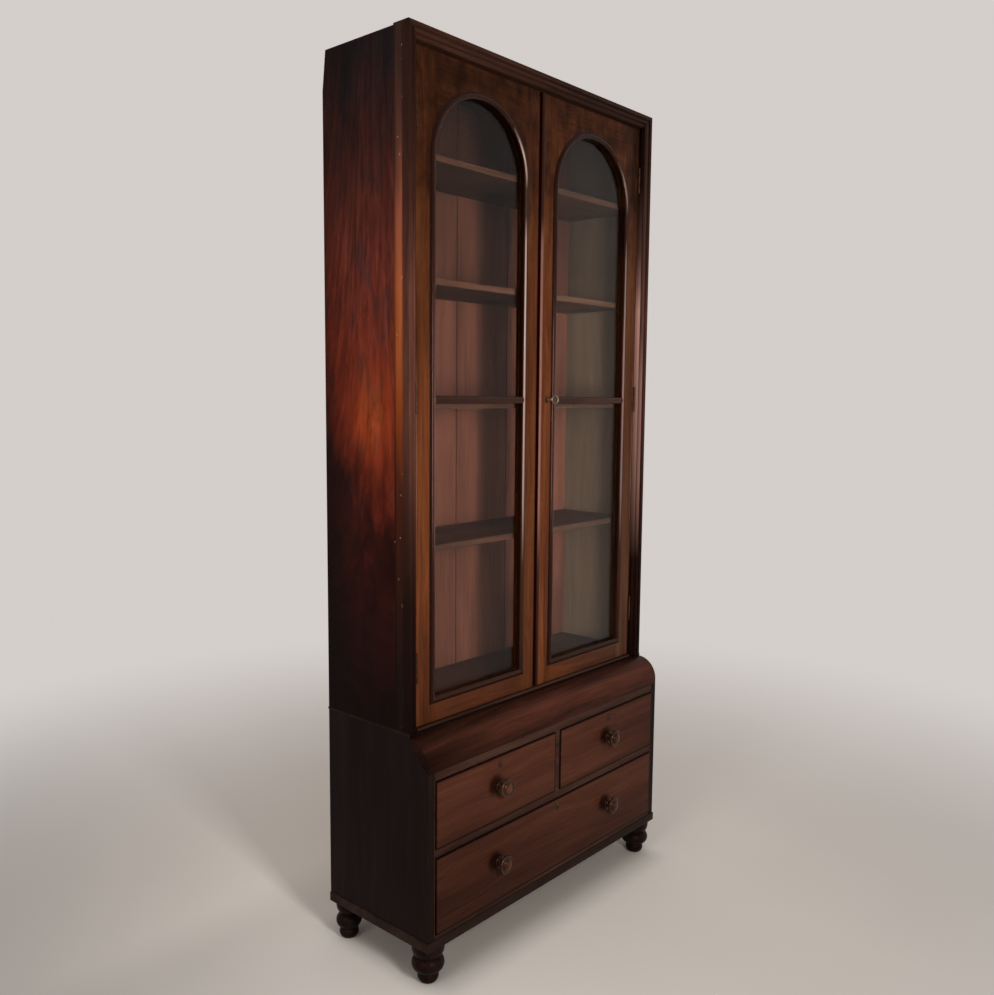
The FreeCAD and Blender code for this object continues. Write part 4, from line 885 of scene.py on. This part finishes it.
PALE = (0.66, 0.62, 0.60)
FLOOR_DARK = (0.92, 0.868, 0.805)
FLOOR_LIGHT = (0.966, 0.914, 0.845)
FLOOR_RADIUS = 40.0
WORLD_LIGHT = 0.55

CAMERA_PLACE = (-2.03297, -1.73158, 1.45933)
CAMERA_YAW, CAMERA_PITCH, CAMERA_ROLL = 48.5147, 6.1304, 0.4934
CAMERA_LENS = 34.334
SENSOR_WIDTH = 36.0


def seen_ray(graph):
    """1 for rays that show the backdrop: from the camera, in a reflection or through glass."""
    path = graph.add("LightPath").outputs
    mirror = graph.math("MAXIMUM", path["Is Glossy Ray"], path["Is Transmission Ray"])
    direct = graph.below(path["Diffuse Depth"], 0.5)
    return graph.product(direct, graph.math("MAXIMUM", path["Is Camera Ray"], mirror))


def floor_colour(graph, place):
    """Pale, with painted shade towards the front and the left, and a painted shadow under the
    chest.
    """
    cloud = graph.noise(place, scale=0.8, detail=3.0)
    colour = graph.ramp(cloud, [(0.3, FLOOR_DARK), (0.7, FLOOR_LIGHT)])
    x, y, z = graph.split(place)
    # Painted shade towards the front and the left
    forward = graph.along(y, (-1.4, 0.74), (-0.9, 0.8), (-0.55, 0.88), (-0.25, 0.97), (0.0, 1.0))
    colour = graph.darken(colour, forward)
    across = graph.along(x, (-0.6, 0.84), (-0.2, 0.84), (0.1, 0.87), (0.4, 0.95), (0.8, 1.0))
    colour = graph.darken(colour, graph.blend(graph.between(y, 0.35, 0.6), across, 1.0))
    slant = graph.less(graph.product(x, 0.93), graph.product(y, 0.38))
    left = graph.along(slant, (-1.35, 0.55), (-1.15, 0.68), (-1.0, 0.78), (-0.85, 0.86),
                       (-0.65, 0.97), (-0.5, 1.0))
    colour = graph.darken(colour, left)
    # A painted shadow under the chest
    under_shadow = graph.band(y, -0.26, -0.12, 0.16, 0.3)
    return graph.shade(colour, under_shadow, graph.between(graph.math("ABSOLUTE", x), 0.54, 0.44), 0.44)


def stage_floor():
    """A plain pale floor that fades into the backdrop's colour away from the object."""
    mesh = bpy.data.meshes.new("floor")
    made = bmesh.new()
    bmesh.ops.create_circle(made, cap_ends=True, segments=96, radius=FLOOR_RADIUS)
    made.to_mesh(mesh)
    made.free()
    floor = bpy.data.objects.new("floor", mesh)
    scene.collection.objects.link(floor)
    paint, graph = material("floor")
    place = graph.add("TexCoord").outputs["Object"]
    near = graph.add("BsdfDiffuse", {"Color": floor_colour(graph, place)})
    far = graph.add("Emission", {"Color": (*PALE, 1), "Strength": 1.0})
    fade = graph.product(graph.between(graph.length(place), 0.8, 3.2), seen_ray(graph))
    both = graph.add("MixShader", {0: fade, 1: near.outputs[0], 2: far.outputs[0]})
    graph.add("OutputMaterial", {"Surface": both.outputs[0]})
    mesh.materials.append(paint)


def backdrop():
    """A world that shows the backdrop's colour and lights the object more weakly."""
    world = bpy.data.worlds.new("studio")
    scene.world = world
    world.use_nodes = True
    world.node_tree.nodes.clear()
    graph = Graph(world.node_tree)
    strength = graph.blend(seen_ray(graph), WORLD_LIGHT, 1.0)
    sky = graph.add("Background", {"Color": (*PALE, 1), "Strength": strength})
    graph.add("OutputWorld", {"Surface": sky.outputs[0]})


def lamp(name, place, aim, width, height, watts, colour):
    data = bpy.data.lights.new(name, "AREA")
    data.shape = "RECTANGLE"
    data.size = width
    data.size_y = height
    data.energy = watts
    data.color = colour
    made = bpy.data.objects.new(name, data)
    made.location = place
    made.rotation_euler = (Vector(aim) - Vector(place)).to_track_quat("-Z", "Y").to_euler()
    scene.collection.objects.link(made)


def photo_camera():
    """The camera that the photograph was taken from."""
    yaw, pitch, roll = (math.radians(a) for a in (CAMERA_YAW, CAMERA_PITCH, CAMERA_ROLL))
    forward = Vector((math.sin(yaw) * math.cos(pitch), math.cos(yaw) * math.cos(pitch),
                      -math.sin(pitch)))
    level = Vector((math.cos(yaw), -math.sin(yaw), 0))
    up = level.cross(forward)
    right = math.cos(roll) * level + math.sin(roll) * up
    top = -math.sin(roll) * level + math.cos(roll) * up
    turn = Matrix((right, top, -forward)).transposed()
    data = bpy.data.cameras.new("photo_camera")
    data.sensor_fit = "HORIZONTAL"
    data.sensor_width = SENSOR_WIDTH
    data.lens = CAMERA_LENS
    data.clip_end = 100.0
    made = bpy.data.objects.new("photo_camera", data)
    made.matrix_world = Matrix.Translation(CAMERA_PLACE) @ turn.to_4x4()
    scene.collection.objects.link(made)
    scene.camera = made


stage_floor()
backdrop()
lamp("key", (-0.97, -1.98, 1.36), (0, 0, 1.3), 0.36, 1.0, 34.0, (1.0, 0.97, 0.94))
lamp("fill", (-3.2, -0.4, 1.9), (-0.5, 0, 1.3), 1.5, 1.5, 26.0, (1.0, 0.98, 0.97))
photo_camera()

scene.view_settings.view_transform = "Standard"
